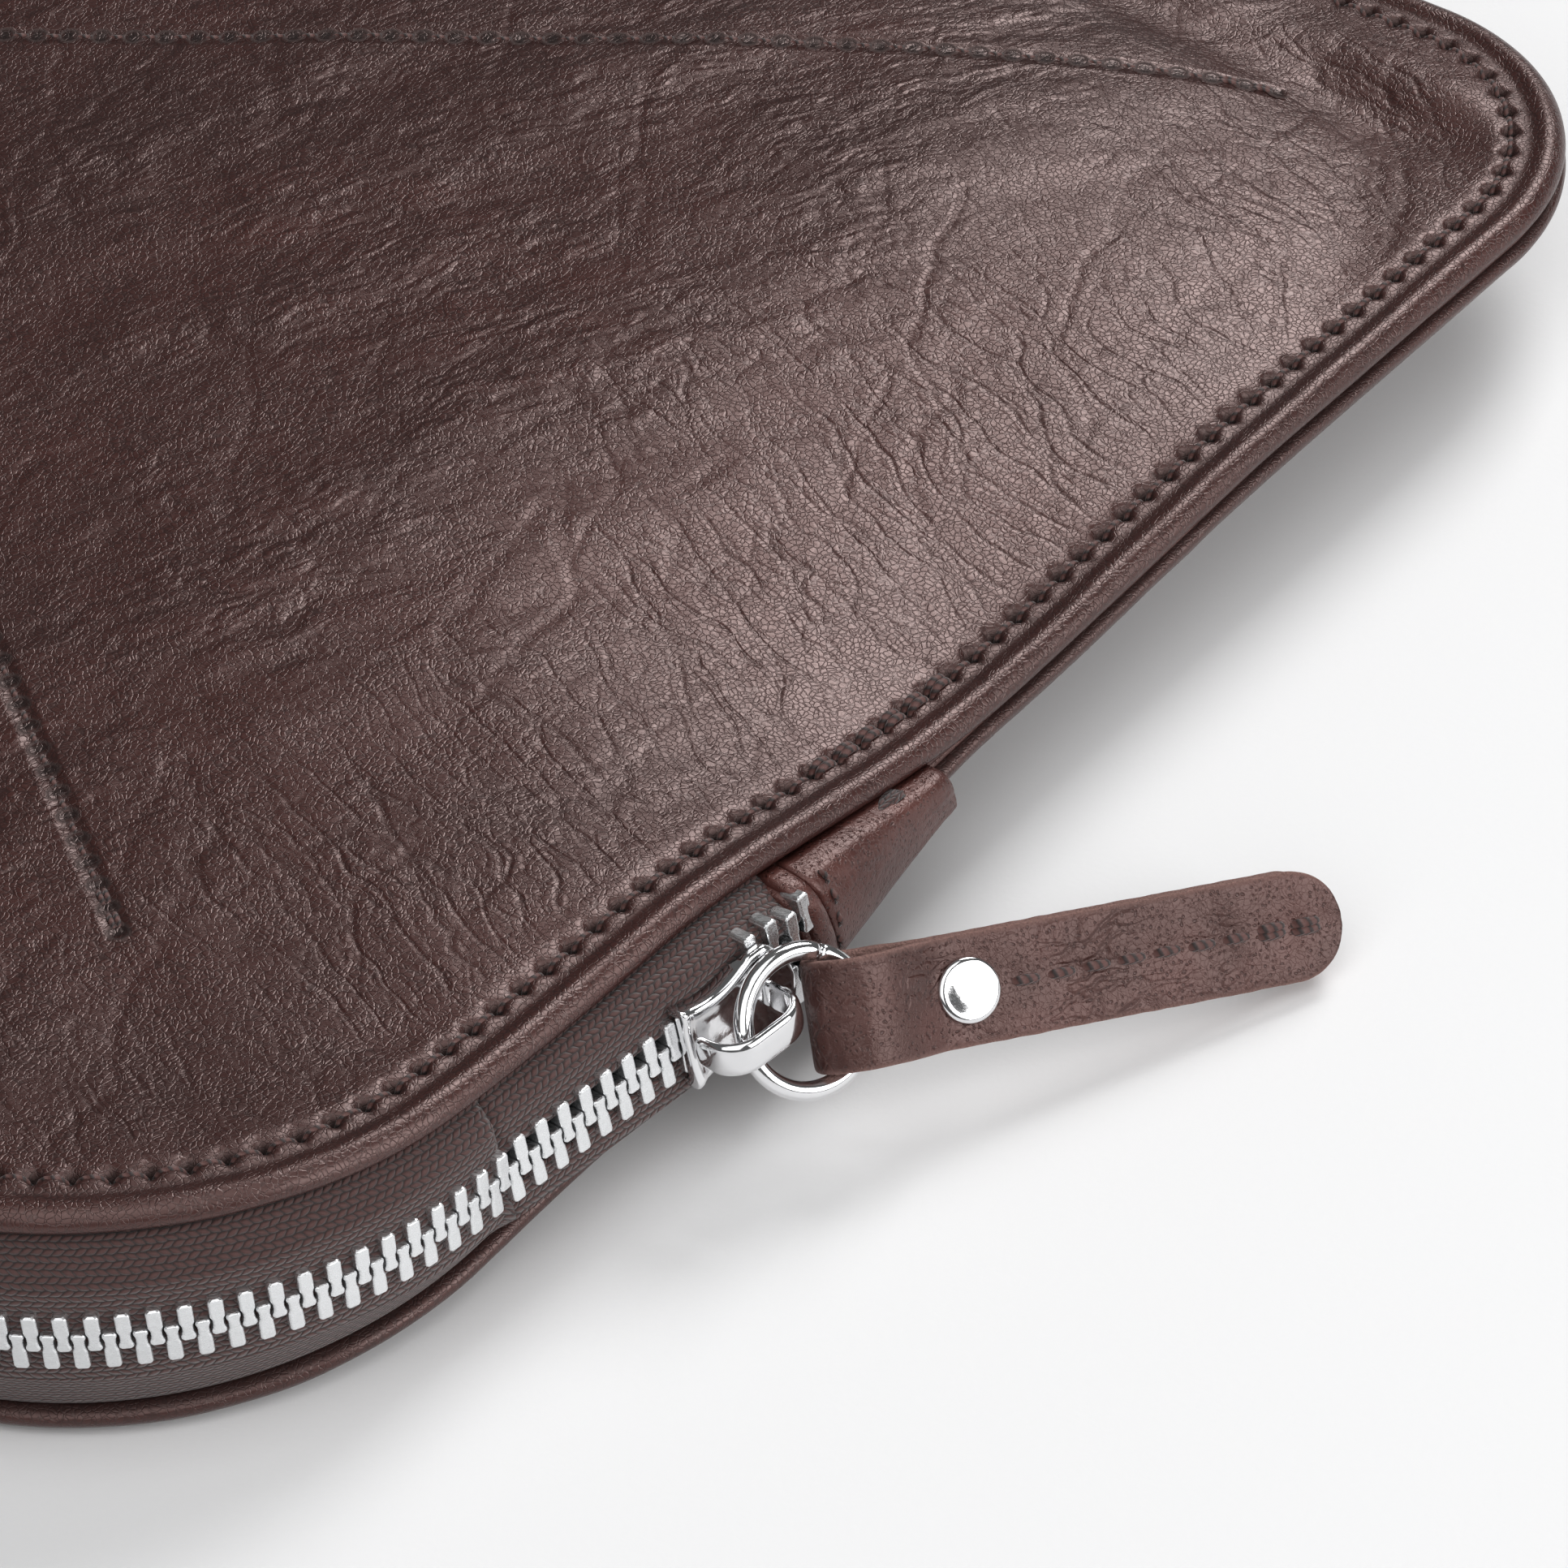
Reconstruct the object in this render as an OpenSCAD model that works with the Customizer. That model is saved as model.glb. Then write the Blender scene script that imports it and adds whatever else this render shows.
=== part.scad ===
/* [Pouch] */
// Length along the zip's long side
pouch_l = 330; // [310:5:350]
// Width from the zip side to the sewn side
pouch_w = 224; // [214:2:236]
// Corner radius on the zip side
zip_corner_r = 41.5; // [36:0.5:46]
// Corner radius on the sewn side
sewn_corner_r = 27; // [22:1:32]
// Height of the front panel's stitch line along the zip
zip_h = 26.7; // [25:0.1:28]
// Height of the stitch line beside the slider
shoulder_h = 23.2; // [22:0.1:24]
// Height of the stitch line where the sewn side begins
seam_h = 17.3; // [16:0.1:18.5]
// Height of the stitch line on the long sewn side
sewn_h = 19.2; // [17.5:0.1:20]
// Height of the middle of the front panel
crown_h = 25.5; // [24:0.5:28]

/* [Leather] */
// Thickness of a panel
panel_t = 1.6; // [1.2:0.1:2]
// Thickness of a panel's turned edge
roll_t = 2.3; // [2:0.1:2.6]
// Distance from the edge to the border stitching
stitch_inset = 5.5; // [4.5:0.5:7]
// Thickness of the thread
thread_d = 0.7; // [0.5:0.1:1]
// Thickness of the lining cloth
lining_t = 0.5; // [0.3:0.1:0.8]

/* [Zip] */
// Distance between neighbouring teeth of one row
tooth_pitch = 2.6; // [2.4:0.1:3]
// Width of the closed chain across both rows
chain_w = 5.7; // [5:0.1:6.5]
// Thickness of a tooth
tooth_t = 2.4; // [2:0.1:2.8]
// Distance of the chain outside the panel's edge
chain_out = 1; // [0.8:0.1:2]
// Thickness of the tape
tape_t = 0.6; // [0.5:0.1:0.7]

/* [Slider] */
// Length of the slider
slider_l = 13; // [12:0.5:14]
// Width of the slider at its shoulders
slider_w = 9.6; // [9:0.1:10.5]
// Thickness of each slider plate
plate_t = 0.95; // [0.8:0.05:1.2]
// Width of the bridge over the ring
bridge_w = 3.2; // [2.6:0.1:4]
// Thickness of the bridge
bridge_t = 1; // [0.9:0.1:1.2]

/* [Ring and puller] */
// Radius of the ring to the middle of its wire
ring_r = 6.2; // [5.8:0.1:6.6]
// Thickness of the ring's wire
wire_d = 1.8; // [1.5:0.1:2]
// Width of the leather puller
puller_w = 10; // [9:0.5:12]
// Length of the folded puller
puller_l = 52; // [46:1:60]
// Thickness of one layer of the puller
puller_t = 1.5; // [1.2:0.1:1.8]
// Diameter of the rivet's cap
rivet_d = 6; // [5:0.5:7]

/* [Hidden] */

leather = [0.36, 0.25, 0.24];
tape_brown = [0.30, 0.20, 0.19];
lining_brown = [0.42, 0.36, 0.33];
thread_brown = [0.22, 0.14, 0.13];
tooth_silver = [0.78, 0.79, 0.80];
polished_silver = [0.88, 0.88, 0.90];

half_l = pouch_l / 2;
half_w = pouch_w / 2;

// The sewn sides lift off the floor as the gusset closes
zip_lift = 0.3;
shoulder_lift = 3.3;
seam_thickness = 5.5;
shoulder_y = -50;           // where the gusset has narrowed a little
slope_start = -44;          // where it starts to close
slope_end = 3;              // where the two panels meet
sewn_rise = 45;             // length over which the sewn side rises again
panel_reach = 60;           // how far in from the stitching a panel curves
soft_corner = stitch_inset + panel_reach;
edge_drop = 1.1;            // how much the turned edge rounds over
edge_lift = 0.4;
roll_w = 7;
clear = 0.05;

tab_start = -29;            // the end tab, along the short side
tab_end = -6;
tab_t = 1.1;
run_start = -68;            // the slider's straight stretch of zip
run_end = -34;
run_rise = 0.02;            // its climb and its outward flare, per mm
run_flare = 0.1;
flare_end = -22;
chain_lift = 0.4;

function ease(t) = let (c = min(1, max(0, t))) c * c * (3 - 2 * c);
function narrowing(y) = ease((y + half_w) / (shoulder_y + half_w));
function closing(y) = ease((y - slope_start) / (slope_end - slope_start));
function rising(y) = (sewn_h - seam_h) * ease((y - slope_end) / sewn_rise);

// Stitch-line height of the front panel, and the underside of the back one
function front_edge(y) =
    zip_h - (zip_h - shoulder_h) * narrowing(y) - (shoulder_h - seam_h) * closing(y) + rising(y);
function back_edge(y) =
    let (lift = seam_h - seam_thickness)
    zip_lift + (shoulder_lift - zip_lift) * narrowing(y)
    + (lift - shoulder_lift) * closing(y) + rising(y);

// How much a point takes the height of its edge: 1 at the stitching, 0 well inside
function edge_share(x, y) =
    let (in_x = max(0, soft_corner - (half_l - abs(x))))
    let (in_y = max(0, soft_corner - (half_w - abs(y))))
    let (inset = soft_corner - norm([in_x, in_y]))
    pow(min(1, max(0, 1 - (inset - stitch_inset) / panel_reach)), 2);
function front_z(x, y) = crown_h + (front_edge(y) - crown_h) * edge_share(x, y);
function back_z(x, y) = back_edge(y) * edge_share(x, y);

// Height of the chain: just above midway, and straight where the slider runs
function middle_z(y) = (front_edge(y) + back_edge(y)) / 2 + chain_lift;
function run_line(y) = middle_z(run_start) + run_rise * (y - run_start);
function chain_z(x, y) =
    x < 0 || y < run_start ? middle_z(y)
    : y < run_end ? run_line(y)
    : run_line(run_end)
      + (middle_z(tab_end) - run_line(run_end)) * ease((y - run_end) / (tab_end - run_end));

// Distance of the chain outside the edge: it flares outward towards the end tabs
function flare(y) = run_flare * (min(y, run_end) - run_start);
function chain_off(y) =
    y < run_start ? chain_out
    : chain_out + flare(y) * (1 - ease((y - run_end) / (flare_end - run_end)));

// Stations round the outline, counter-clockwise: [x, y, outward x, outward y]
function arc_stations(cx, cy, r, from, count) = [
    for (i = [0:count])
    let (a = from + 90 * i / count)
    [cx + r * cos(a), cy + r * sin(a), cos(a), sin(a)]
];
function side_stations(a, b, out, count) = [
    for (i = [1:count - 1])
    let (p = a + (b - a) * i / count)
    [p.x, p.y, out.x, out.y]
];
zip_cx = half_l - zip_corner_r;
zip_cy = -(half_w - zip_corner_r);
sewn_cx = half_l - sewn_corner_r;
sewn_cy = half_w - sewn_corner_r;
right = [1, 0];
left = [-1, 0];
corner_steps = 6;

sewn_path = concat(
    side_stations([half_l, tab_end - 10], [half_l, sewn_cy], right, 8),
    arc_stations(sewn_cx, sewn_cy, sewn_corner_r, 0, corner_steps),
    side_stations([sewn_cx, half_w], [-sewn_cx, half_w], [0, 1], 8),
    arc_stations(-sewn_cx, sewn_cy, sewn_corner_r, 90, corner_steps),
    side_stations([-half_l, sewn_cy], [-half_l, tab_end - 10], left, 8)
);
left_zip_side = side_stations([-half_l, tab_end - 4], [-half_l, zip_cy], left, 7);
zip_corners = concat(
    arc_stations(-zip_cx, zip_cy, zip_corner_r, 180, corner_steps),
    side_stations([-zip_cx, -half_w], [zip_cx, -half_w], [0, -1], 8),
    arc_stations(zip_cx, zip_cy, zip_corner_r, 270, corner_steps)
);
zip_path = concat(left_zip_side, zip_corners, [[half_l, run_start, 1, 0]]);
run_path = concat(
    [[half_l, run_start + 0.4, 1, 0]],
    side_stations([half_l, run_start], [half_l, run_end], right, 4),
    [[half_l, run_end, 1, 0]],
    side_stations([half_l, run_end], [half_l, tab_end - 4], right, 5)
);
loop_path = concat(sewn_path, zip_path, run_path);

// A closed solid through rings of points; rings turn counter-clockwise seen from ahead.
// An end is closed between the ring's two halves, or, if it is wide, by a fan from its own
// middle point. Two faces that lie close together split their quads along the same diagonal
// if one of them is turned.
function middle_of(ring) =
    [for (k = [0:2]) (max([for (p = ring) p[k]]) + min([for (p = ring) p[k]])) / 2];

module loft(rings, closed = false, fan = false, turned = false) {
    n = len(rings[0]);
    count = len(rings);
    last = closed ? count - 1 : count - 2;
    sides = [
        for (i = [0:last])
        for (j = [0:n - 1])
        let (k = (j + 1) % n)
        let (a = i * n)
        let (b = ((i + 1) % count) * n)
        for (face = turned
            ? [[a + j, b + j, a + k], [b + j, b + k, a + k]]
            : [[a + j, b + j, b + k], [a + j, b + k, a + k]])
        face
    ];
    first_middle = count * n;
    end = (count - 1) * n;
    fans = [
        for (j = [0:n - 1])
        let (k = (j + 1) % n)
        for (face = [[first_middle, j, k], [first_middle + 1, end + k, end + j]])
        face
    ];
    caps = [
        for (j = [0:n / 2 - 2])
        let (far = n - 1 - j)
        for (face = [[j, j + 1, far - 1, far], [end + far, end + far - 1, end + j + 1, end + j]])
        face
    ];
    ring_points = [for (ring = rings) for (p = ring) p];
    middles = fan ? [middle_of(rings[0]), middle_of(rings[count - 1])] : [];
    polyhedron(
        concat(ring_points, middles),
        closed ? sides : concat(sides, fan ? fans : caps)
    );
}

// A point at an inset from the outline; beyond deep_inset it heads for the middle
deep_inset = 20;
spine = half_l - half_w;
function inset_point(s, d) =
    let (p = [s[0] - min(d, deep_inset) * s[2], s[1] - min(d, deep_inset) * s[3]])
    let (middle = [min(spine, max(-spine, p.x)), 0])
    let (t = max(0, d - deep_inset) / (half_w - deep_inset))
    p + (middle - p) * t;
flat_inset = soft_corner + 1;

// The two faces of each panel: the outer face, and the face towards the inside
function edge_round(d) = pow(max(0, 1 - d / 2), 2);
function thickness(d) = d <= roll_w ? roll_t : panel_t;
function front_outer(s, d) =
    let (p = inset_point(s, d))
    [p.x, p.y, front_z(p.x, p.y) - edge_drop * edge_round(d)];
function front_inner(s, d) =
    let (p = inset_point(s, d))
    [p.x, p.y, front_z(p.x, p.y) - thickness(d) + edge_lift * edge_round(d)];
function back_outer(s, d) =
    let (p = inset_point(s, d))
    [p.x, p.y, back_z(p.x, p.y) + edge_drop * edge_round(d)];
function back_inner(s, d) =
    let (p = inset_point(s, d))
    [p.x, p.y, back_z(p.x, p.y) + thickness(d) - edge_lift * edge_round(d)];

panel_insets = [0, 0.8, 2, roll_w, roll_w + 1, roll_w + 2, deep_inset, 34, 48, flat_inset];
lining_insets = [roll_w + 2, deep_inset, 34, 48, flat_inset];
function reversed(list) = [for (i = [len(list) - 1:-1:0]) list[i]];
function moved(p, up) = [p.x, p.y, p.z + up];

module front_panel() {
    color(leather)
    loft(concat(
        [for (d = reversed(panel_insets)) [for (s = loop_path) front_inner(s, d)]],
        [for (d = panel_insets) [for (s = loop_path) front_outer(s, d)]]
    ), fan = true);
}

module back_panel() {
    color(leather)
    loft(concat(
        [for (d = reversed(panel_insets)) [for (s = loop_path) back_outer(s, d)]],
        [for (d = panel_insets) [for (s = loop_path) back_inner(s, d)]]
    ), fan = true);
}

lining_gap = 0.6;

module front_lining() {
    top = -lining_gap;
    bottom = -lining_gap - lining_t;
    color(lining_brown)
    loft(concat(
        [for (d = reversed(lining_insets)) [for (s = loop_path) moved(front_inner(s, d), bottom)]],
        [for (d = lining_insets) [for (s = loop_path) moved(front_inner(s, d), top)]]
    ), fan = true, turned = true);
}

module back_lining() {
    top = lining_gap + lining_t;
    bottom = lining_gap;
    color(lining_brown)
    loft(concat(
        [for (d = reversed(lining_insets)) [for (s = loop_path) moved(back_inner(s, d), bottom)]],
        [for (d = lining_insets) [for (s = loop_path) moved(back_inner(s, d), top)]]
    ), fan = true, turned = true);
}

// A ring of profile points [inset, z] at a station
function profile_ring(s, profile) = [
    for (q = profile) [s[0] - q[0] * s[2], s[1] - q[0] * s[3], q[1]]
];
layer_gap = 0.2;                        // between a turned edge and what is sewn under it
edge_insets = [0, stitch_inset, roll_w];
function front_zs(s) = [for (d = edge_insets) let (p = inset_point(s, d)) front_z(p.x, p.y)];
function back_zs(s) = [for (d = edge_insets) let (p = inset_point(s, d)) back_z(p.x, p.y)];
function roll_under(s) = min(front_zs(s)) - roll_t - layer_gap;
function roll_over(s) = max(back_zs(s)) + roll_t + layer_gap;

// The flat strip between the two turned edges along the sewn sides
welt_in = 6.5;
welt_out = 0.9;

module side_welt() {
    color(leather)
    loft([
        for (s = sewn_path)
        let (top = roll_under(s))
        let (bottom = roll_over(s))
        profile_ring(s, [
            [welt_out, bottom], [welt_in, bottom], [welt_in, top], [welt_out, top]
        ])
    ]);
}

// Half of the zip's tape: flat under the turned edge, across to the chain's plane, then
// along that plane to the chain, so that the slider can pass
tape_in = 6.8;
tape_bend = 1.2;
half_slit = 0.35;
slit_open = 2.45;                       // the halves part round the slider's post
slit_len = 8.5;
tape_plane = 5.2;                       // how far the tape keeps to the chain's plane
tape_narrow = 0.9;                      // how much less it does so under the end tabs
slider_lean = 8;
function lean_at(s) = s[0] > 0 && s[1] >= run_start ? tan(slider_lean) : 0;
function slit_at(s) =
    half_slit + (s[0] > 0 ? slit_open * ease(1 - abs(s[1] - run_end) / slit_len) : 0);
function tape_ring(s, sheet, chain, up) =
    let (under_tab = ease((s[1] - run_end) / (tab_start - run_end)))
    let (slit = slit_at(s))
    let (free = min(tape_plane, abs(sheet - chain) - 1.2) * (1 - tape_narrow * under_tab))
    let (reach = max(free, slit + 0.5))
    let (off = -chain_off(s[1]))
    let (turned = off + up * lean_at(s) * reach)
    let (h = tape_t / 2)
    [
        [tape_in, sheet], [tape_bend, sheet],
        [turned - h, chain + up * (reach + tape_t / 2)], [off - h, chain + up * slit],
        [off + h, chain + up * slit], [turned + h, chain + up * (reach - tape_t / 2)],
        [tape_bend + tape_t, sheet - up * tape_t], [tape_in, sheet - up * tape_t]
    ];
function upper_tape_ring(s) =
    profile_ring(s, tape_ring(s, roll_under(s), chain_z(s[0], s[1]), 1));
function lower_tape_ring(s) =
    profile_ring(s, reversed(tape_ring(s, roll_over(s), chain_z(s[0], s[1]), -1)));

module upper_tape() {
    color(tape_brown) loft([for (s = zip_path) upper_tape_ring(s)]);
}

module lower_tape() {
    color(tape_brown) loft([for (s = zip_path) lower_tape_ring(s)]);
}

module upper_tape_run() {
    color(tape_brown) loft([for (s = run_path) upper_tape_ring(s)]);
}

module lower_tape_run() {
    color(tape_brown) loft([for (s = run_path) lower_tape_ring(s)]);
}

// The chain's centre line, measured from the right end tab towards the left one
chain_r = zip_corner_r + chain_out;
corner_len = chain_r * PI / 2;
side_len = tab_start - zip_cy;
long_len = 2 * zip_cx;
corner_1 = side_len;
long_side = corner_1 + corner_len;
corner_2 = long_side + long_len;
left_side = corner_2 + corner_len;
chain_len = left_side + side_len;
turn_per_mm = 90 / corner_len;

run_heading = atan(run_flare);
function in_run(y) = y > run_start && y < run_end;

// [x, y, direction in degrees that the chain faces] at a length along it
function side_pose(y) = [half_l + chain_off(y), y, in_run(y) ? -run_heading : 0];
function chain_pose(s) =
    s < corner_1 ? side_pose(tab_start - s)
    : s < long_side ?
        let (a = -(s - corner_1) * turn_per_mm)
        [zip_cx + chain_r * cos(a), zip_cy + chain_r * sin(a), a]
    : s < corner_2 ? [zip_cx - (s - long_side), -half_w - chain_out, -90]
    : s < left_side ?
        let (a = -90 - (s - corner_2) * turn_per_mm)
        [-zip_cx + chain_r * cos(a), zip_cy + chain_r * sin(a), a]
    : let (p = side_pose(zip_cy + (s - left_side)))
      [-p.x, p.y, 180 - p.z];

tooth_w = 1.2;
tooth_overlap = 0.8;
tooth_h = chain_w / 2 + tooth_overlap;

module tooth(up) {
    base = up ? -tooth_overlap : -chain_w / 2;
    translate([-tooth_t / 2, -tooth_w / 2, base])
        cube([tooth_t, tooth_w, tooth_h]);
}

// Teeth that the slider has not yet closed stand apart
open_from = 2.2;
open_gap = 2.4;
function parted(pose) = pose.x > 0 && pose.y > slider_y + open_from ? open_gap : 0;

module tooth_row(from, to, up, lean = 0) {
    for (s = [from:tooth_pitch:to]) {
        pose = chain_pose(s);
        translate([pose.x, pose.y, chain_z(pose.x, pose.y)])
            rotate([0, -lean, pose.z])
            translate([0, 0, up ? parted(pose) : -parted(pose)])
            tooth(up);
    }
}

run_teeth = 15;                        // teeth of each row on the straight stretch
first_tooth = 0.8;
second_row = tooth_pitch / 2;
rest_start = first_tooth + run_teeth * tooth_pitch;

module upper_teeth() {
    color(tooth_silver) tooth_row(rest_start, chain_len - 2, true);
}

module lower_teeth() {
    color(tooth_silver) tooth_row(rest_start + second_row, chain_len - 2, false);
}

module upper_teeth_run() {
    color(tooth_silver) tooth_row(first_tooth, rest_start - 0.1, true, slider_lean);
}

module lower_teeth_run() {
    color(tooth_silver)
    tooth_row(first_tooth + second_row, rest_start - 0.1 + second_row, false, slider_lean);
}

// Small clips at the ends of the chain, behind the end tabs
stop_h = 2.4;
stop_t = 1.6;
stop_w = 1.8;
stop_in = 0.4;
stop_gap = 3.8;

module top_stops() {
    y = tab_start + 2.2;
    color(tooth_silver)
    for (up = [-1, 1])
        translate([
            half_l + chain_off(y) - stop_t - stop_in, y, chain_z(half_l, y) + (up * stop_gap - stop_h) / 2
        ])
            cube([stop_t, stop_w, stop_h]);
}

module bottom_stop() {
    y = tab_start + 2.2;
    color(tooth_silver)
    translate([-half_l - chain_off(y) + stop_in, y, chain_z(-half_l, y) - stop_h])
        cube([stop_t, stop_w, 2 * stop_h]);
}

// A leather tab over the end of the zip: a bulging strip that tapers into the side seam,
// with a doubled, turned edge towards the slider
tab_gap = 0.6;
tab_fold = 3;
tab_out = 3.3;                          // its bulge at the turned edge
tab_seam_out = 0.7;                     // and where it meets the side seam
tab_stations = [
    for (y = [tab_start, tab_start + tab_fold, tab_start + tab_fold + 1, -20, -15, -10, tab_end]) y
];
tab_angles = [-90, -60, -30, 0, 30, 60, 90];
function tab_share(y) = (y - tab_start) / (tab_end - tab_start);
function tab_top(y) = front_edge(y) - roll_t - 0.3;
function tab_bottom(y) = back_edge(y) + 1.3 * (1 - tab_share(y));
function tab_bulge(y) = tab_out - (tab_out - tab_seam_out) * tab_share(y);
function tab_thickness(y) = y <= tab_start + tab_fold ? 1.6 * tab_t : tab_t;
function tab_point(y, a, out, shrink) =
    let (mid = (tab_top(y) + tab_bottom(y)) / 2)
    let (half = (tab_top(y) - tab_bottom(y)) / 2 - shrink)
    [half_l + tab_gap + out + tab_bulge(y) * pow(max(0, cos(a)), 0.6), y, mid + half * sin(a)];

module end_tab() {
    color(leather)
    loft([
        for (y = tab_stations)
        concat(
            [for (a = tab_angles) tab_point(y, a, 0, tab_t / 2)],
            [for (a = reversed(tab_angles)) tab_point(y, a, tab_thickness(y), 0)]
        )
    ]);
}

module right_end_tab() {
    end_tab();
}

module left_end_tab() {
    mirror([1, 0, 0]) end_tab();
}

// One stitch: a short straight length of thread lying on a face
module stitch(long) {
    rotate([0, 90, 0]) cylinder(d = thread_d, h = long, center = true, $fn = 24);
}

tab_stitches = 4;
tab_stitch_turn = 24;
tab_stitch_l = 1.8;

module tab_stitching() {
    y = tab_start + tab_fold - 0.9;
    color(thread_brown)
    for (side = [-1, 1])
    for (i = [0:tab_stitches - 1]) {
        p = tab_point(y, (i - (tab_stitches - 1) / 2) * tab_stitch_turn, 1.6 * tab_t, 0);
        translate([side * p.x, y, p.z]) rotate([0, 90, 0]) stitch(tab_stitch_l);
    }
}

// Sewing thread along the edge: one closed loop, half sunk in the leather
thread_sides = 6;
function thread_ring(s, z) = [
    for (i = [0:thread_sides - 1])
    let (a = 360 * i / thread_sides)
    let (d = stitch_inset + thread_d / 2 * cos(a))
    [s[0] - d * s[2], s[1] - d * s[3], z + thread_d / 2 * sin(a)]
];

module border_stitching_front() {
    color(thread_brown)
    loft([for (s = loop_path) thread_ring(s, front_outer(s, stitch_inset).z)], closed = true);
}

module border_stitching_back() {
    color(thread_brown)
    loft([for (s = loop_path) thread_ring(s, back_outer(s, stitch_inset).z)], closed = true);
}

// Four rows of thread from near the corners to the middle of the front panel
diagonal_ends = [[133, 90], [-133, 90], [-129, -74], [129, -74]];
diagonal_middle = [0, 4];
diagonal_gap = 3;
diagonal_steps = 10;
function diagonal_ring(p, across) = [
    for (i = [0:thread_sides - 1])
    let (a = 360 * i / thread_sides)
    let (q = p + across * thread_d / 2 * cos(a))
    [q.x, q.y, front_z(p.x, p.y) + thread_d / 2 * sin(a)]
];

module diagonal_stitching() {
    color(thread_brown)
    for (end = diagonal_ends) {
        way = (end - diagonal_middle) / norm(end - diagonal_middle);
        start = diagonal_middle + diagonal_gap * way;
        across = [-way.y, way.x];
        loft([
            for (i = [0:diagonal_steps])
            diagonal_ring(start + (end - start) * i / diagonal_steps, across)
        ]);
    }
}

// The slider's own frame: x towards its nose, y up, z away from the pouch
slider_y = -41;
slider_pitch = atan(run_rise);

module on_slider() {
    translate([half_l + chain_off(slider_y), slider_y, run_line(slider_y)])
        rotate([slider_pitch, -slider_lean, -run_heading])
        rotate([90, 0, 90])
        children();
}

waist = 3.3;                            // half width of the plate's waist
waist_x = -2.6;
scoop_r = 9.4;
nose_x = 0.5;
channel = tooth_t / 2 + 0.15;           // half depth of the space for the teeth
tape_slot = 0.5;                        // half width of the slot for the tape
flange_w = 0.3;                         // the flanges' width at the waist
flange_l = 0.7;                         // and their share of the slider's length
neck_x = 4.2;
neck_r = 1.5;

module plate_outline() {
    nose_r = slider_l / 2 - nose_x;
    difference() {
        intersection() {
            square([slider_l, slider_w], center = true);
            union() {
                translate([nose_x, 0]) circle(r = nose_r, $fn = 64);
                translate([-slider_l / 2, -slider_w / 2]) square([slider_l / 2 + nose_x, slider_w]);
            }
        }
        for (side = [-1, 1])
            translate([waist_x, side * (waist + scoop_r)]) circle(r = scoop_r, $fn = 96);
    }
}

module slider_plate() {
    translate([0, 0, channel]) linear_extrude(plate_t) plate_outline();
    translate([0, 0, tape_slot])
        linear_extrude(channel - tape_slot + clear)
        intersection() {
            plate_outline();
            for (side = [-1, 1])
                translate([-slider_l / 2, side > 0 ? waist - flange_w : -slider_w / 2])
                    square([flange_l * slider_l, slider_w / 2 - waist + flange_w]);
        }
}

module slider_body() {
    color(polished_silver)
    on_slider() {
        slider_plate();
        mirror([0, 0, 1]) slider_plate();
        translate([neck_x, 0, -channel - clear])
            cylinder(r = neck_r, h = 2 * (channel + clear), $fn = 48);
    }
}

// The bridge: an arched band, free at the tail so that the ring can be put on
bridge_tail = -6.3;
bridge_root = 3.9;
plate_top = channel + plate_t;
tunnel_top = 7;
bridge_gap = 0.4;

module arch_outline(x0, x1, top, r) {
    translate([x0, plate_top - 0.3]) square([x1 - x0, top - r - plate_top + 0.3]);
    translate([x0 + r, top - r - clear]) square([x1 - x0 - 2 * r, r + clear]);
    for (x = [x0 + r, x1 - r])
        translate([x, top - r]) circle(r = r, $fn = 64);
}

module slider_bridge() {
    outer_r = 3.4;
    color(polished_silver)
    on_slider()
        rotate([90, 0, 0])
        linear_extrude(bridge_w, center = true)
        difference() {
            arch_outline(bridge_tail, bridge_root, tunnel_top + bridge_t, outer_r);
            arch_outline(bridge_tail + bridge_t, bridge_root - bridge_t, tunnel_top,
                outer_r - bridge_t);
            translate([bridge_tail - 1, 0]) square([bridge_root - bridge_tail, plate_top + bridge_gap]);
            translate([0, 0]) square([bridge_root + 1, plate_top]);
        }
}

// The ring's own frame: z along its axis; it hangs from the bridge at hang_angle
ring_at = [175.35, -37.9, 13.45];
ring_tip = 57.5;
ring_heading = -12.3;
hold_angle = 73;                        // where the puller sits on the ring
hinge_in = 4.7;                         // distance from the ring's centre to the puller's hinge
puller_bend = 8.2;
butt_angle = 142;                       // where the wire's two ends meet
butt_gap = 0.15;

module on_ring() {
    translate(ring_at) rotate([0, ring_tip, ring_heading]) children();
}

module pull_ring() {
    color(polished_silver)
    on_ring()
        rotate([0, 0, butt_angle])
        difference() {
            rotate_extrude($fn = 96) translate([ring_r, 0]) circle(d = wire_d, $fn = 32);
            translate([0, -butt_gap / 2, -wire_d]) cube([2 * ring_r, butt_gap, 2 * wire_d]);
        }
}

// The puller's own frame: x towards its tip, y across it, z out of its front face
module on_puller() {
    on_ring()
        rotate([0, 0, hold_angle])
        translate([hinge_in, 0, 0])
        rotate([0, -puller_bend, 0])
        children();
}

loop_r = 2.8;                         // inside radius of the fold round the wire
join_x = 7.4;                           // where the two layers meet
rivet_x = 10.7;
rivet_hole_r = 1.25;
rivet_r = 1.2;
tip_x = puller_l - loop_r - puller_t;

// A solid as wide as the puller, from an outline in its length and thickness
module across_puller() {
    rotate([90, 0, 0]) linear_extrude(puller_w, center = true) children();
}

module fold(r, half) {
    across_puller() circle(r = r, $fn = 64);
    across_puller() polygon([[0, r], [join_x, half], [join_x, -half], [0, -r]]);
}

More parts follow.
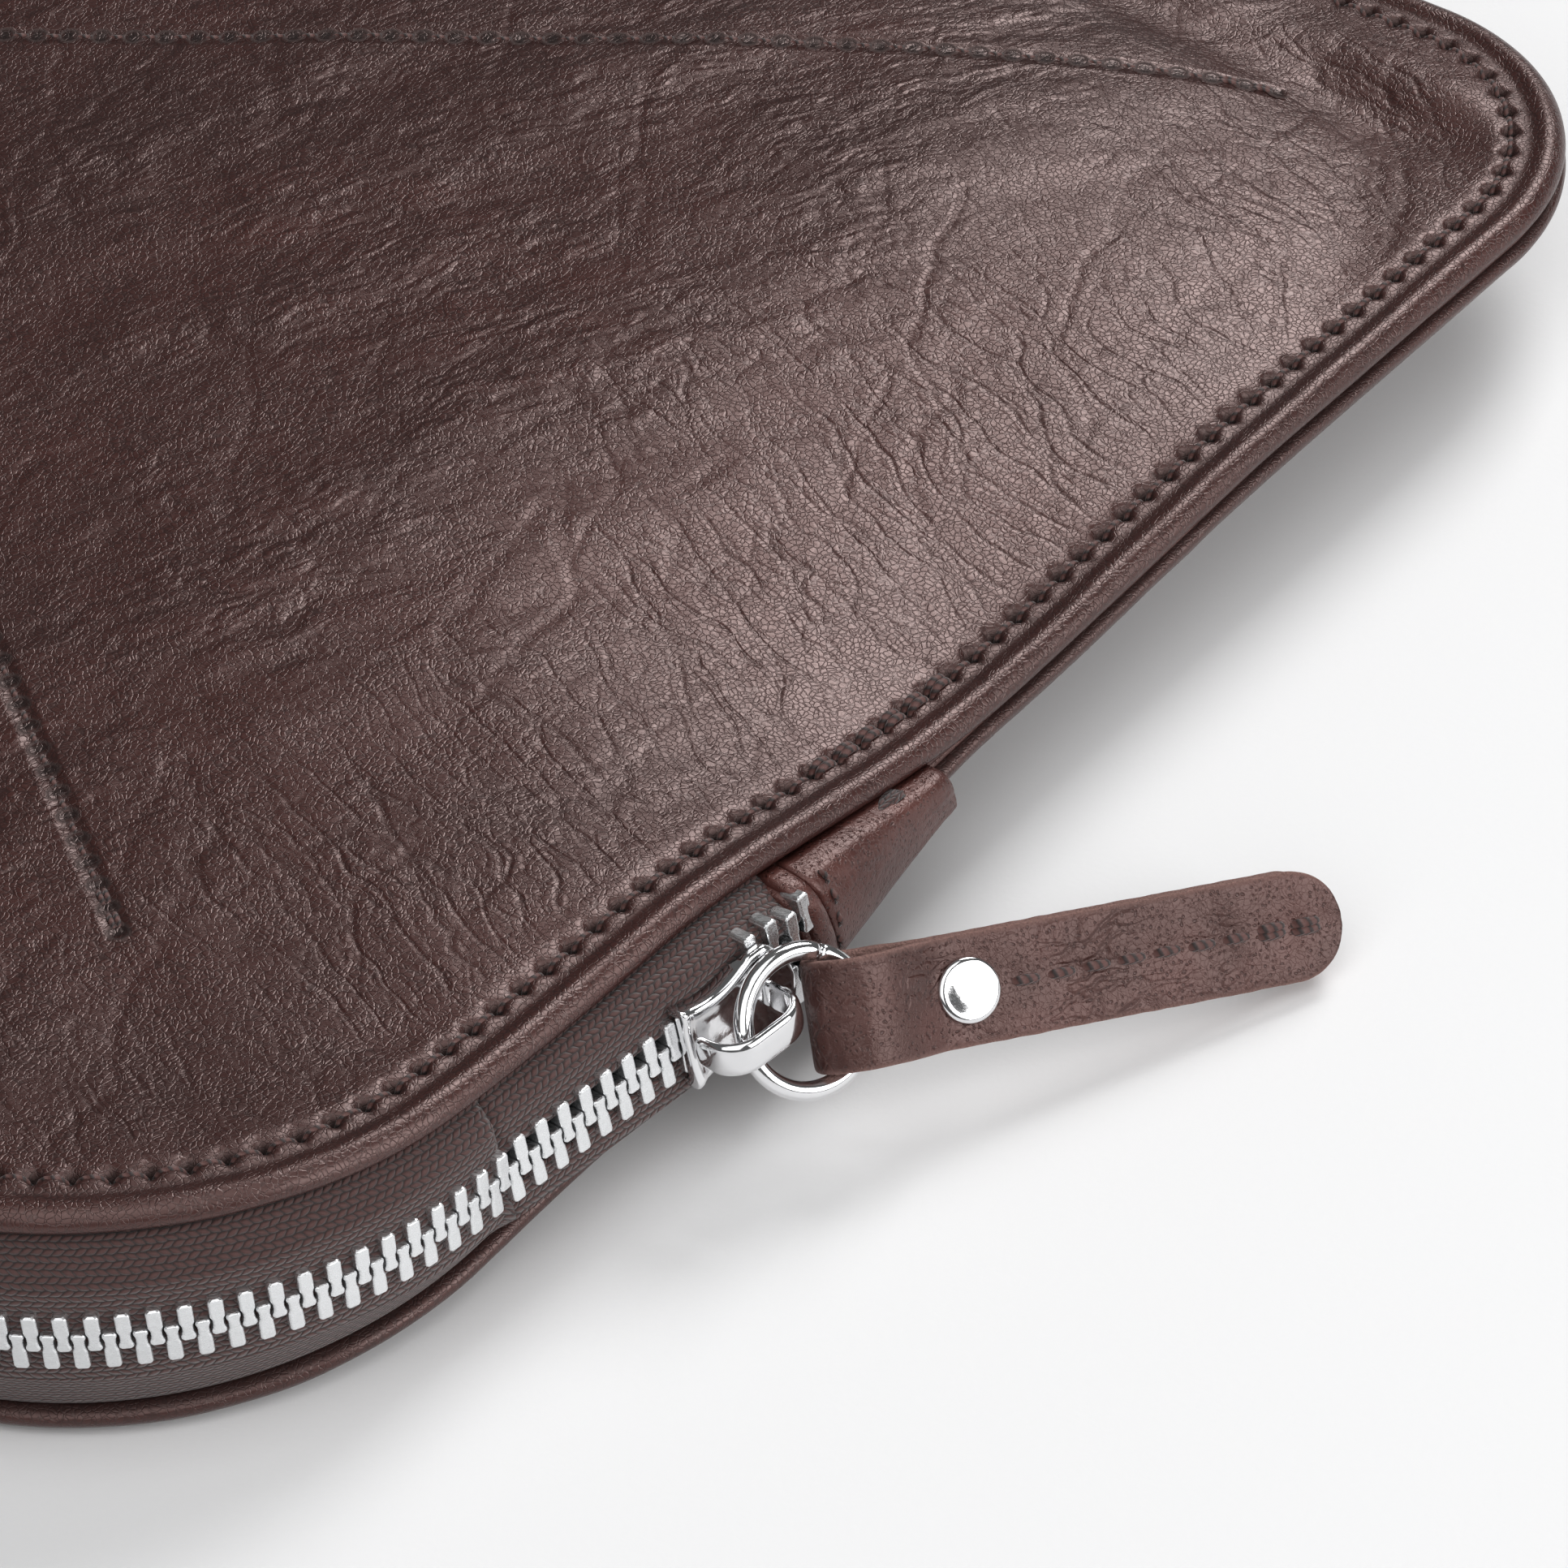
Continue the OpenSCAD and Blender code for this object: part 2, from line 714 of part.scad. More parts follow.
module puller_strap() {
    half = puller_t + clear;
    round_x = tip_x - puller_w / 2;
    color(leather)
    on_puller()
        difference() {
            union() {
                fold(loop_r + puller_t, half);
                across_puller()
                    translate([join_x - 1, -half]) square([round_x - join_x + 1, 2 * half]);
                translate([round_x, 0, -half]) cylinder(d = puller_w, h = 2 * half, $fn = 64);
            }
            fold(loop_r, clear);
            translate([rivet_x, 0, -5]) cylinder(r = rivet_hole_r, h = 10, $fn = 32);
        }
}

cap_h = 0.7;
cap_edge = 0.25;

module rivet_cap() {
    face = puller_t + clear + 0.02;
    color(polished_silver)
    on_puller() translate([rivet_x, 0, face]) {
        cylinder(d = rivet_d, h = cap_h - cap_edge, $fn = 48);
        translate([0, 0, cap_h - cap_edge])
            cylinder(d1 = rivet_d, d2 = rivet_d - 2 * cap_edge, h = cap_edge, $fn = 48);
    }
}

module rivet_post() {
    face = puller_t + clear;
    color(polished_silver)
    on_puller() translate([rivet_x, 0, 0]) {
        translate([0, 0, -face]) cylinder(r = rivet_r, h = 2 * face, $fn = 32);
        translate([0, 0, -face - 0.62]) cylinder(d = rivet_d, h = 0.6, $fn = 48);
        translate([0, 0, -face - 0.1]) cylinder(r = rivet_r, h = 0.2, $fn = 32);
    }
}

puller_stitches = 9;
puller_stitch_pitch = 3.5;
puller_stitch_l = 2.7;
puller_stitch_x = 15.4;

module puller_stitching() {
    face = puller_t + clear;
    color(thread_brown)
    on_puller()
        for (i = [0:puller_stitches - 1])
        for (side = [-1, 1])
            translate([puller_stitch_x + i * puller_stitch_pitch, 0, side * face])
                stitch(puller_stitch_l);
}

front_panel();
back_panel();
front_lining();
back_lining();
side_welt();
upper_tape();
lower_tape();
upper_tape_run();
lower_tape_run();
upper_teeth();
lower_teeth();
upper_teeth_run();
lower_teeth_run();
top_stops();
bottom_stop();
right_end_tab();
left_end_tab();
tab_stitching();
border_stitching_front();
border_stitching_back();
diagonal_stitching();
slider_body();
slider_bridge();
pull_ring();
puller_strap();
rivet_cap();
rivet_post();
puller_stitching();
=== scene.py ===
"""A zippered leather pouch, lying closed on a pale surface. Lengths are in mm until a mesh is made."""
import bmesh
import bpy
import math
import numpy as np
from mathutils import Matrix


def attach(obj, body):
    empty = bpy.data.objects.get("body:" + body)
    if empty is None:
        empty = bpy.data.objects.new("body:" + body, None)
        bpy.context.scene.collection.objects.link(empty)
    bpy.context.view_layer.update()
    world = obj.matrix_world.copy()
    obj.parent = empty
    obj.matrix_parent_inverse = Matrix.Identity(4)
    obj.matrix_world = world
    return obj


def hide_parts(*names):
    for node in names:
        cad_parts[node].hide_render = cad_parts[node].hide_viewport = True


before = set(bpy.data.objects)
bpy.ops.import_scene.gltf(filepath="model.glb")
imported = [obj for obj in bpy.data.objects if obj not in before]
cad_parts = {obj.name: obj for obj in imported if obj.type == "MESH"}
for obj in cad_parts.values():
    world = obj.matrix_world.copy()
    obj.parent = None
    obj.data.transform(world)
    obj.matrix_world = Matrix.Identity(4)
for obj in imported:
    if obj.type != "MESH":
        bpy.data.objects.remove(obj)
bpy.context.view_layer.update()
MM = 0.001
TAU = 2 * math.pi

# The part's own sizes, as its source gives them
HALF_L, HALF_W = 165.0, 112.0
ZIP_R, SEWN_R = 41.5, 27.0
ZIP_CX, ZIP_CY = HALF_L - ZIP_R, -(HALF_W - ZIP_R)
SEWN_CX, SEWN_CY = HALF_L - SEWN_R, HALF_W - SEWN_R
ZIP_H, SHOULDER_H, SEAM_H, SEWN_H, CROWN_H = 26.7, 23.2, 17.3, 19.2, 25.5
ZIP_LIFT, SHOULDER_LIFT, SEAM_T = 0.3, 3.3, 5.5
SHOULDER_Y, SLOPE_START, SLOPE_END, SEWN_RISE = -50.0, -44.0, 3.0, 45.0
PANEL_T, ROLL_T, STITCH_IN, PANEL_REACH = 1.6, 2.3, 5.5, 60.0
SOFT_CORNER = STITCH_IN + PANEL_REACH
DEEP, SPINE = 20.0, HALF_L - HALF_W
TAB_START, TAB_END = -29.0, -6.0
RUN_START, RUN_END, RUN_RISE, RUN_FLARE, FLARE_END = -68.0, -34.0, 0.02, 0.1, -22.0
CHAIN_OUT, CHAIN_LIFT, TAPE_T = 1.0, 0.4, 0.6
TOOTH_PITCH = 2.6


def ease(t):
    c = np.clip(t, 0, 1)
    return c * c * (3 - 2 * c)


def bell(distance, width):
    return np.exp(-((distance / width) ** 2))


def narrowing(y):
    return ease((y + HALF_W) / (SHOULDER_Y + HALF_W))


def closing(y):
    return ease((y - SLOPE_START) / (SLOPE_END - SLOPE_START))


def rising(y):
    return (SEWN_H - SEAM_H) * ease((y - SLOPE_END) / SEWN_RISE)


def front_edge(y):
    return ZIP_H - (ZIP_H - SHOULDER_H) * narrowing(y) - (SHOULDER_H - SEAM_H) * closing(y) + rising(y)


def back_edge(y):
    lift = SEAM_H - SEAM_T
    shoulder = (SHOULDER_LIFT - ZIP_LIFT) * narrowing(y)
    return ZIP_LIFT + shoulder + (lift - SHOULDER_LIFT) * closing(y) + rising(y)


def edge_share(x, y):
    in_x = np.maximum(0, SOFT_CORNER - (HALF_L - np.abs(x)))
    in_y = np.maximum(0, SOFT_CORNER - (HALF_W - np.abs(y)))
    inset = SOFT_CORNER - np.hypot(in_x, in_y)
    return np.clip(1 - (inset - STITCH_IN) / PANEL_REACH, 0, 1) ** 2


def front_z(x, y):
    return CROWN_H + (front_edge(y) - CROWN_H) * edge_share(x, y)


def back_z(x, y):
    return back_edge(y) * edge_share(x, y)


def middle_z(y):
    return (front_edge(y) + back_edge(y)) / 2 + CHAIN_LIFT


def run_line(y):
    return middle_z(RUN_START) + RUN_RISE * (y - RUN_START)


def chain_z(x, y):
    climb = middle_z(TAB_END) - run_line(RUN_END)
    beside = run_line(RUN_END) + climb * ease((y - RUN_END) / (TAB_END - RUN_END))
    run = np.where(y < RUN_END, run_line(y), beside)
    return np.where((x < 0) | (y < RUN_START), middle_z(y), run)


def chain_off(y):
    flare = RUN_FLARE * (np.minimum(y, RUN_END) - RUN_START)
    return CHAIN_OUT + np.where(y < RUN_START, 0, flare * (1 - ease((y - RUN_END) / (FLARE_END - RUN_END))))


# Smooth noise from a fixed lattice, so that every run gives the same leather
LATTICE = np.random.default_rng(11).random((256, 256))


def noise(x, y, seed=0):
    x, y = np.asarray(x) + 17.3 * seed, np.asarray(y) + 31.7 * seed
    ix, iy = np.floor(x).astype(int), np.floor(y).astype(int)
    fx, fy = ease(x - ix), ease(y - iy)
    a = LATTICE[ix % 256, iy % 256] * (1 - fx) + LATTICE[(ix + 1) % 256, iy % 256] * fx
    b = LATTICE[ix % 256, (iy + 1) % 256] * (1 - fx) + LATTICE[(ix + 1) % 256, (iy + 1) % 256] * fx
    return (a * (1 - fy) + b * fy) * 2 - 1


def fbm(x, y, seed=0, octaves=3):
    return sum(noise(x * 2**k, y * 2**k, seed + k) * 0.5**k for k in range(octaves))


def turned(x, y, degrees, along, across):
    a = math.radians(degrees)
    return (x * math.cos(a) + y * math.sin(a)) / along, (y * math.cos(a) - x * math.sin(a)) / across


# ---------------------------------------------------------------- materials

def linear(*rgb):
    return [(c / 255 / 12.92 if c <= 10 else ((c / 255 + 0.055) / 1.055) ** 2.4) for c in rgb] + [1]


class Nodes:
    """A short way to write a material's node tree."""

    def __init__(self, name):
        self.material = bpy.data.materials.new(name)
        self.material.use_nodes = True
        self.tree = self.material.node_tree
        self.shader = self.tree.nodes["Principled BSDF"]

    def put(self, socket, value):
        if isinstance(value, bpy.types.NodeSocket):
            self.tree.links.new(value, socket)
        elif value is not None:
            socket.default_value = value

    def add(self, kind, inputs=None, out=0, **settings):
        node = self.tree.nodes.new(kind)
        for key, value in settings.items():
            setattr(node, key, value)
        for key, value in (inputs or {}).items():
            self.put(node.inputs[key], value)
        return node.outputs[out]

    def math(self, operation, a, b=None, clamp=False):
        return self.add("ShaderNodeMath", {0: a, 1: b}, operation=operation, use_clamp=clamp)

    def times(self, a, b):
        return self.math("MULTIPLY", a, b)

    def plus(self, a, b):
        return self.math("ADD", a, b)

    def minus(self, a, b):
        return self.math("SUBTRACT", a, b)

    def over(self, a, b):
        return self.math("DIVIDE", a, b)

    def size(self, a):
        return self.math("ABSOLUTE", a)

    def vector(self, operation, a, b=None, scale=None):
        node = self.tree.nodes.new("ShaderNodeVectorMath")
        node.operation = operation
        self.put(node.inputs[0], a)
        self.put(node.inputs[1], b)
        if scale is not None:
            self.put(node.inputs["Scale"], scale)
        return node.outputs[0]

    def ramp(self, value, low, high, to_low=0.0, to_high=1.0):
        return self.add("ShaderNodeMapRange", {0: value, 1: low, 2: high, 3: to_low, 4: to_high},
                        interpolation_type="SMOOTHSTEP")

    def mix(self, share, a, b, blend="MIX"):
        node = self.tree.nodes.new("ShaderNodeMix")
        node.data_type = "RGBA"
        node.blend_type = blend
        for socket, value in ((node.inputs[0], share), (node.inputs[6], a), (node.inputs[7], b)):
            self.put(socket, value)
        return node.outputs[2]

    def object_mm(self):
        place = self.add("ShaderNodeTexCoord", out=3)
        return self.vector("SCALE", place, scale=1000.0)

    def attribute(self, name, out="Fac"):
        node = self.tree.nodes.new("ShaderNodeAttribute")
        node.attribute_name = name
        return node.outputs[out]

    def noise(self, place, scale, detail=2.0, roughness=0.5, out=0):
        return self.add("ShaderNodeTexNoise", {"Vector": place, "Scale": scale, "Detail": detail,
                                               "Roughness": roughness}, out=out)

    def split(self, place):
        node = self.tree.nodes.new("ShaderNodeSeparateXYZ")
        self.put(node.inputs[0], place)
        return node.outputs

    def stretched(self, place, degrees, along, across):
        """Coordinates that run slowly along a direction and fast across it."""
        turned_to = self.add("ShaderNodeVectorRotate", {"Vector": place, "Angle": math.radians(-degrees)},
                             rotation_type="Z_AXIS")
        return self.vector("MULTIPLY", turned_to, (1 / along, 1 / across, 1 / across))

    def finish(self, color, roughness, height_mm=None, **sockets):
        self.put(self.shader.inputs["Base Color"], color)
        self.put(self.shader.inputs["Roughness"], roughness)
        if height_mm is not None:
            height = self.times(height_mm, 0.001)
            bump = self.add("ShaderNodeBump", {"Strength": 1.0, "Distance": 1.0, "Height": height})
            self.put(self.shader.inputs["Normal"], bump)
        for key, value in sockets.items():
            self.shader.inputs[key.replace("_", " ")].default_value = value
        return self.material


SHEEN_TINT = (1.0, 0.75, 0.71, 1.0)


def folds(n, place, degrees, along, across, width, seed):
    """A network of drawn-out pillows parted by narrow valleys: 0 in a valley, 1 on a pillow."""
    base = n.vector("ADD", n.stretched(place, degrees, along, across), (seed, seed * 0.7, 0.0))
    edge = n.add("ShaderNodeTexVoronoi", {"Vector": base, "Scale": 1.0, "Randomness": 1.0},
                 feature="DISTANCE_TO_EDGE")
    return n.ramp(edge, 0.0, width)


def warped(n, place, scale, size):
    drift = n.vector("SUBTRACT", n.noise(place, scale, 2.0, out=1), (0.5, 0.5, 0.5))
    return n.vector("ADD", place, n.vector("SCALE", drift, scale=size))


ROW_MIDDLE, ROW_PITCH, ROW_GAP, ROW_Z = 4.0, 3.3, 3.0, 14.5
ROW_ENDS = [(133.0, 90.0), (-133.0, 90.0), (-129.0, -74.0), (129.0, -74.0)]


def seam_rows(n, place):
    """The crossing rows of stitches: how far a point lies in their groove, and how near a needle hole."""
    x, y, z = n.split(place)
    x, y = n.size(x), n.minus(y, ROW_MIDDLE)
    groove = hole = 0.0
    for end_x, end_y in (ROW_ENDS[0], ROW_ENDS[-1]):
        length = math.hypot(end_x, end_y - ROW_MIDDLE)
        way_x, way_y = end_x / length, (end_y - ROW_MIDDLE) / length
        last = ROW_GAP + ROW_PITCH * int((length - ROW_GAP) / ROW_PITCH)
        along = n.plus(n.times(x, way_x), n.times(y, way_y))
        across = n.minus(n.times(y, way_x), n.times(x, way_y))
        near = n.ramp(n.size(across), 0.3, 1.5, 1.0, 0.0)
        for limit in (n.ramp(along, ROW_GAP - 1, ROW_GAP), n.ramp(along, last, last + 1, 1.0, 0.0),
                      n.ramp(z, ROW_Z, ROW_Z + 0.5)):
            near = n.times(near, limit)
        turn = n.math("FRACT", n.over(n.minus(along, ROW_GAP), ROW_PITCH))
        from_middle = n.size(n.minus(turn, 0.5))
        groove = n.math("MAXIMUM", near, groove)
        hole = n.math("MAXIMUM", n.times(near, n.ramp(from_middle, 0.26, 0.42)), hole)
    return groove, hole


def panel_leather():
    n = Nodes("panel_leather")
    place = n.object_mm()
    calm = n.attribute("calm")
    free = n.minus(1.0, calm)
    x = n.split(n.vector("ADD", place, n.vector("SCALE", n.noise(place, 0.03, 2.0, out=1), scale=30.0)))[0]
    near_side = n.ramp(n.size(n.minus(x, 15.0)), 104.0, 140.0)
    inner = n.minus(1.0, near_side)

    # Pebble grain: half-millimetre cells parted by fine cracks
    bent = warped(n, place, 0.5, 1.2)
    cell = n.add("ShaderNodeTexVoronoi", {"Vector": bent, "Scale": 1.75, "Randomness": 1.0},
                 feature="DISTANCE_TO_EDGE")
    patchy = n.noise(place, 0.22, 2.0)
    crack_width = n.ramp(patchy, 0.35, 0.7, 0.10, 0.22)
    grain = n.ramp(cell, 0.0, crack_width)
    fine = n.noise(place, 4.0, 2.0, 0.6)

    # Folds: steep on the middle, square to the seam beside it
    drawn = warped(n, place, 0.16, 5.0)
    mid_small = folds(n, drawn, 61, 5.2, 1.7, 0.34, 3.0)
    mid_large = folds(n, drawn, 52, 15.0, 4.6, 0.40, 11.0)
    side_large = folds(n, warped(n, place, 0.07, 9.0), -14, 24.0, 3.6, 0.11, 7.0)
    side_small = folds(n, drawn, -4, 4.4, 1.9, 0.20, 5.0)
    mixed = n.plus(n.times(mid_large, inner), n.times(side_large, near_side))
    small = n.plus(n.times(mid_small, inner), n.times(side_small, near_side))
    strong = n.ramp(n.noise(place, 0.045, 2.0), 0.32, 0.62, 0.4, 1.0)
    swell = n.noise(n.stretched(drawn, 57, 8.5, 2.7), 1.0, 1.5, 0.45)
    crossing = folds(n, warped(n, place, 0.05, 14.0), 118, 60.0, 17.0, 0.06, 23.0)
    some = n.ramp(n.noise(place, 0.03, 1.0), 0.45, 0.6)
    scar = n.math("MAXIMUM", crossing, some)

    height = n.plus(n.times(grain, 0.022), n.times(fine, 0.008))
    depth = n.plus(n.times(small, n.ramp(inner, 0.0, 1.0, 0.03, 0.06)),
                   n.times(mixed, n.ramp(inner, 0.0, 1.0, 0.055, 0.085)))
    depth = n.plus(depth, n.times(swell, n.ramp(inner, 0.0, 1.0, 0.10, 0.40)))
    depth = n.plus(n.times(depth, strong), n.times(scar, 0.05))
    height = n.plus(height, n.times(depth, free))
    groove, hole = seam_rows(n, place)
    height = n.minus(height, n.times(groove, 0.28))

    tone = n.ramp(n.noise(place, 0.025, 3.0), 0.3, 0.7)
    color = n.mix(tone, linear(45, 18, 15), linear(57, 25, 21))
    speckle = n.times(n.minus(1.0, grain), 0.8)
    color = n.mix(speckle, color, linear(30, 13, 12))
    # Painted shade in the fold valleys
    valley = n.minus(1.0, n.times(mixed, n.ramp(small, 0.0, 1.0, 0.7, 1.0)))
    valley = n.times(n.times(valley, free), n.times(strong, 0.45))
    color = n.mix(valley, color, linear(34, 15, 13))
    # Painted shade along the crossing rows: darker in their groove and darkest at each needle hole
    color = n.mix(n.times(groove, 0.4), color, linear(30, 13, 11))
    color = n.mix(n.times(hole, 0.9), color, linear(10, 4, 4))
    # Painted shade in the needle holes, the grooves and under the turned edge, read from a point attribute;
    # these places are also made rougher
    color = n.mix(n.attribute("painted_shade"), color, linear(14, 6, 6))
    roughness = n.plus(n.ramp(fine, 0.3, 0.7, 0.31, 0.39), n.times(n.attribute("painted_shade"), 0.4))
    return n.finish(color, roughness, height, Specular_IOR_Level=0.88, Specular_Tint=SHEEN_TINT)


def pored_leather(name, base, light, pore_scale, fold_depth, fold_angle):
    """Smooth leather with open pores, for the puller, the tabs and the turned edges."""
    n = Nodes(name)
    place = n.object_mm()
    bent = warped(n, place, 0.4, 1.6)
    pore = n.add("ShaderNodeTexVoronoi", {"Vector": bent, "Scale": pore_scale, "Randomness": 0.9})
    pit = n.ramp(pore, 0.12, 0.38)
    cell = n.add("ShaderNodeTexVoronoi", {"Vector": bent, "Scale": 1.7, "Randomness": 1.0},
                 feature="DISTANCE_TO_EDGE")
    crack = n.ramp(cell, 0.0, 0.10)
    fold = folds(n, warped(n, place, 0.25, 3.0), fold_angle, 5.5, 1.5, 0.22, 5.0)
    shown = n.ramp(n.noise(place, 0.10, 2.0), 0.38, 0.6)
    fold = n.math("MAXIMUM", fold, n.minus(1.0, shown))
    height = n.plus(n.times(pit, 0.055), n.times(crack, 0.012))
    height = n.plus(height, n.times(fold, fold_depth))
    height = n.plus(height, n.times(n.noise(place, 2.2, 3.0, 0.6), 0.05))
    dark = linear(36, 18, 17)
    raw = n.attribute("raw")
    color = n.mix(n.ramp(n.noise(place, 0.12, 3.0), 0.3, 0.7), base, light)
    color = n.mix(n.times(n.minus(1.0, pit), 0.75), color, dark)
    # Painted shade in the fold valleys
    color = n.mix(n.times(n.minus(1.0, fold), 0.28), color, dark)
    fuzz = n.noise(place, 4.5, 3.0, 0.75)
    color = n.mix(n.times(raw, n.ramp(fuzz, 0.3, 0.6, 0.35, 1.0)), color, linear(150, 116, 108))
    # Painted shade from a point attribute, on pieces that carry one
    color = n.mix(n.attribute("painted_shade"), color, linear(20, 10, 9))
    height = n.plus(height, n.times(fuzz, n.times(raw, 0.35)))
    roughness = n.plus(0.36, n.times(raw, 0.45))
    return n.finish(color, roughness, height, Specular_IOR_Level=0.7, Specular_Tint=SHEEN_TINT)


def tape_weave():
    """Herringbone tape: slanted threads in rows along the zip; 'weave' is (along, across) in mm."""
    n = Nodes("zip_tape")
    along, across, _ = n.split(n.attribute("weave", "Vector"))
    wobble = n.times(n.minus(n.noise(n.attribute("weave", "Vector"), 0.8, 2.0), 0.5), 0.35)
    v = n.over(n.plus(across, wobble), 0.62)
    row = n.math("FLOOR", v)
    odd = n.minus(n.times(n.math("FRACT", n.times(row, 0.5)), 4.0), 1.0)
    fv = n.minus(n.math("FRACT", v), 0.5)
    u = n.over(along, 0.92)
    u = n.plus(u, n.times(row, 0.41))
    u = n.plus(u, n.times(n.times(fv, odd), 0.55))
    fu = n.minus(n.math("FRACT", u), 0.5)
    long_part = n.math("POWER", n.size(n.times(fu, 2.0)), 3.0)
    short_part = n.math("POWER", n.size(n.times(fv, 2.0)), 2.5)
    yarn = n.math("SUBTRACT", 1.0, n.plus(long_part, short_part), clamp=True)
    fibre = n.noise(n.vector("MULTIPLY", n.attribute("weave", "Vector"), (2.5, 16.0, 1.0)), 1.0, 2.0, 0.6)
    height = n.plus(n.times(yarn, 0.2), n.times(fibre, 0.04))
    color = n.mix(n.math("POWER", yarn, 0.55), linear(18, 8, 7), linear(76, 44, 40))
    color = n.mix(n.times(fibre, 0.3), color, linear(58, 34, 31))
    # Painted shade from a point attribute, on pieces that carry one
    color = n.mix(n.attribute("painted_shade"), color, linear(22, 12, 11))
    return n.finish(color, 0.72, height, Sheen_Weight=0.25, Sheen_Roughness=0.5)


def thread_material():
    n = Nodes("thread")
    along, around, _ = n.split(n.attribute("weave", "Vector"))
    twist = n.math("SINE", n.times(n.plus(n.over(along, 0.8), around), TAU))
    fibre = n.noise(n.object_mm(), 6.0, 2.0, 0.6)
    height = n.plus(n.times(twist, 0.05), n.times(fibre, 0.03))
    color = n.mix(n.ramp(twist, -1.0, 0.4), linear(30, 14, 12), linear(84, 50, 45))
    return n.finish(color, 0.6, height, Sheen_Weight=0.2)


def metal(name, base, roughness, dent):
    n = Nodes(name)
    place = n.object_mm()
    soft = n.noise(place, 0.9, 3.0, 0.6)
    fine = n.noise(n.stretched(place, 30, 1.6, 0.12), 1.0, 2.0)
    height = n.plus(n.times(soft, dent), n.times(fine, 0.0008))
    rough = n.ramp(fine, 0.3, 0.8, roughness * 0.75, roughness * 1.35)
    color = n.mix(soft, base, [c * 0.93 for c in base[:3]] + [1])
    return n.finish(color, rough, height, Metallic=1.0)


def lining_material():
    n = Nodes("lining_cloth")
    place = n.object_mm()
    felt = n.noise(place, 1.6, 4.0, 0.7)
    lint = n.noise(n.stretched(place, 35, 3.0, 0.5), 1.0, 3.0, 0.6)
    height = n.plus(n.times(felt, 0.12), n.times(lint, 0.08))
    color = n.mix(felt, linear(92, 74, 66), linear(128, 108, 98))
    return n.finish(color, 0.9, height, Sheen_Weight=0.4)


LEATHER = panel_leather()
TAB_LEATHER = pored_leather("tab_leather", linear(64, 34, 30), linear(80, 46, 41), 2.0, 0.02, 20)
PULLER_LEATHER = pored_leather("puller_leather", linear(54, 29, 25), linear(70, 41, 37), 1.9, 0.11, 63)
WEAVE = tape_weave()
THREAD = thread_material()
POLISHED = metal("polished_metal", [0.80, 0.80, 0.81, 1], 0.10, 0.010)
TOOTH_METAL = metal("tooth_metal", [0.83, 0.84, 0.85, 1], 0.32, 0.06)
LINING = lining_material()


# ---------------------------------------------------------------- meshes

def make(name, points, faces, material, body, nodes, smooth=True, floats=None, vectors=None):
    """A piece from points in mm. floats and vectors are per-point attributes."""
    mesh = bpy.data.meshes.new(name)
    mesh.from_pydata((np.asarray(points, float) * MM).tolist(), [], [list(map(int, f)) for f in faces])
    mesh.validate()
    mesh.update()
    for key, values in (floats or {}).items():
        numbers = np.asarray(values, np.float32).ravel()
        mesh.attributes.new(key, "FLOAT", "POINT").data.foreach_set("value", numbers)
    for key, values in (vectors or {}).items():
        mesh.attributes.new(key, "FLOAT_VECTOR", "POINT").data.foreach_set(
            "vector", np.asarray(values, np.float32).ravel())
    mesh.materials.append(material)
    mesh.polygons.foreach_set("use_smooth", np.full(len(mesh.polygons), smooth))
    piece = bpy.data.objects.new(name, mesh)
    bpy.context.collection.objects.link(piece)
    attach(piece, body)
    if nodes:
        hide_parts(*nodes)
    return piece


def bridge_rings(count, n, base=0):
    """Quads between equal rings of points, numbered ring after ring."""
    faces = []
    for i in range(count - 1):
        a, b = base + i * n, base + (i + 1) * n
        for j in range(n):
            k = (j + 1) % n
            faces.append((a + j, a + k, b + k, b + j))
    return faces


def loft(rings):
    """Points and faces of a solid through equal rings, with a flat face at each end."""
    count, n = len(rings), len(rings[0])
    ends = [list(range(n))[::-1], list(range((count - 1) * n, count * n))]
    return np.concatenate(rings), bridge_rings(count, n) + ends


def circle(sides):
    around = np.arange(sides) * TAU / sides
    return np.column_stack([np.cos(around), np.sin(around)])


def steps_along(path):
    """Length along a path at each of its points."""
    return np.concatenate([[0], np.cumsum(np.linalg.norm(np.diff(path, axis=0), axis=1))])


def tangents(path):
    steps = np.gradient(path, axis=0)
    return steps / np.linalg.norm(steps, axis=1)[:, None]


def weld(piece, distance=2e-5):
    """Joins points that meet, and turns all faces outward."""
    shape = bmesh.new()
    shape.from_mesh(piece.data)
    bmesh.ops.remove_doubles(shape, verts=shape.verts, dist=distance)
    bmesh.ops.recalc_face_normals(shape, faces=shape.faces)
    shape.to_mesh(piece.data)
    shape.free()


def subdivide(piece):
    smooth = piece.modifiers.new("smooth", "SUBSURF")
    smooth.levels = smooth.render_levels = 1


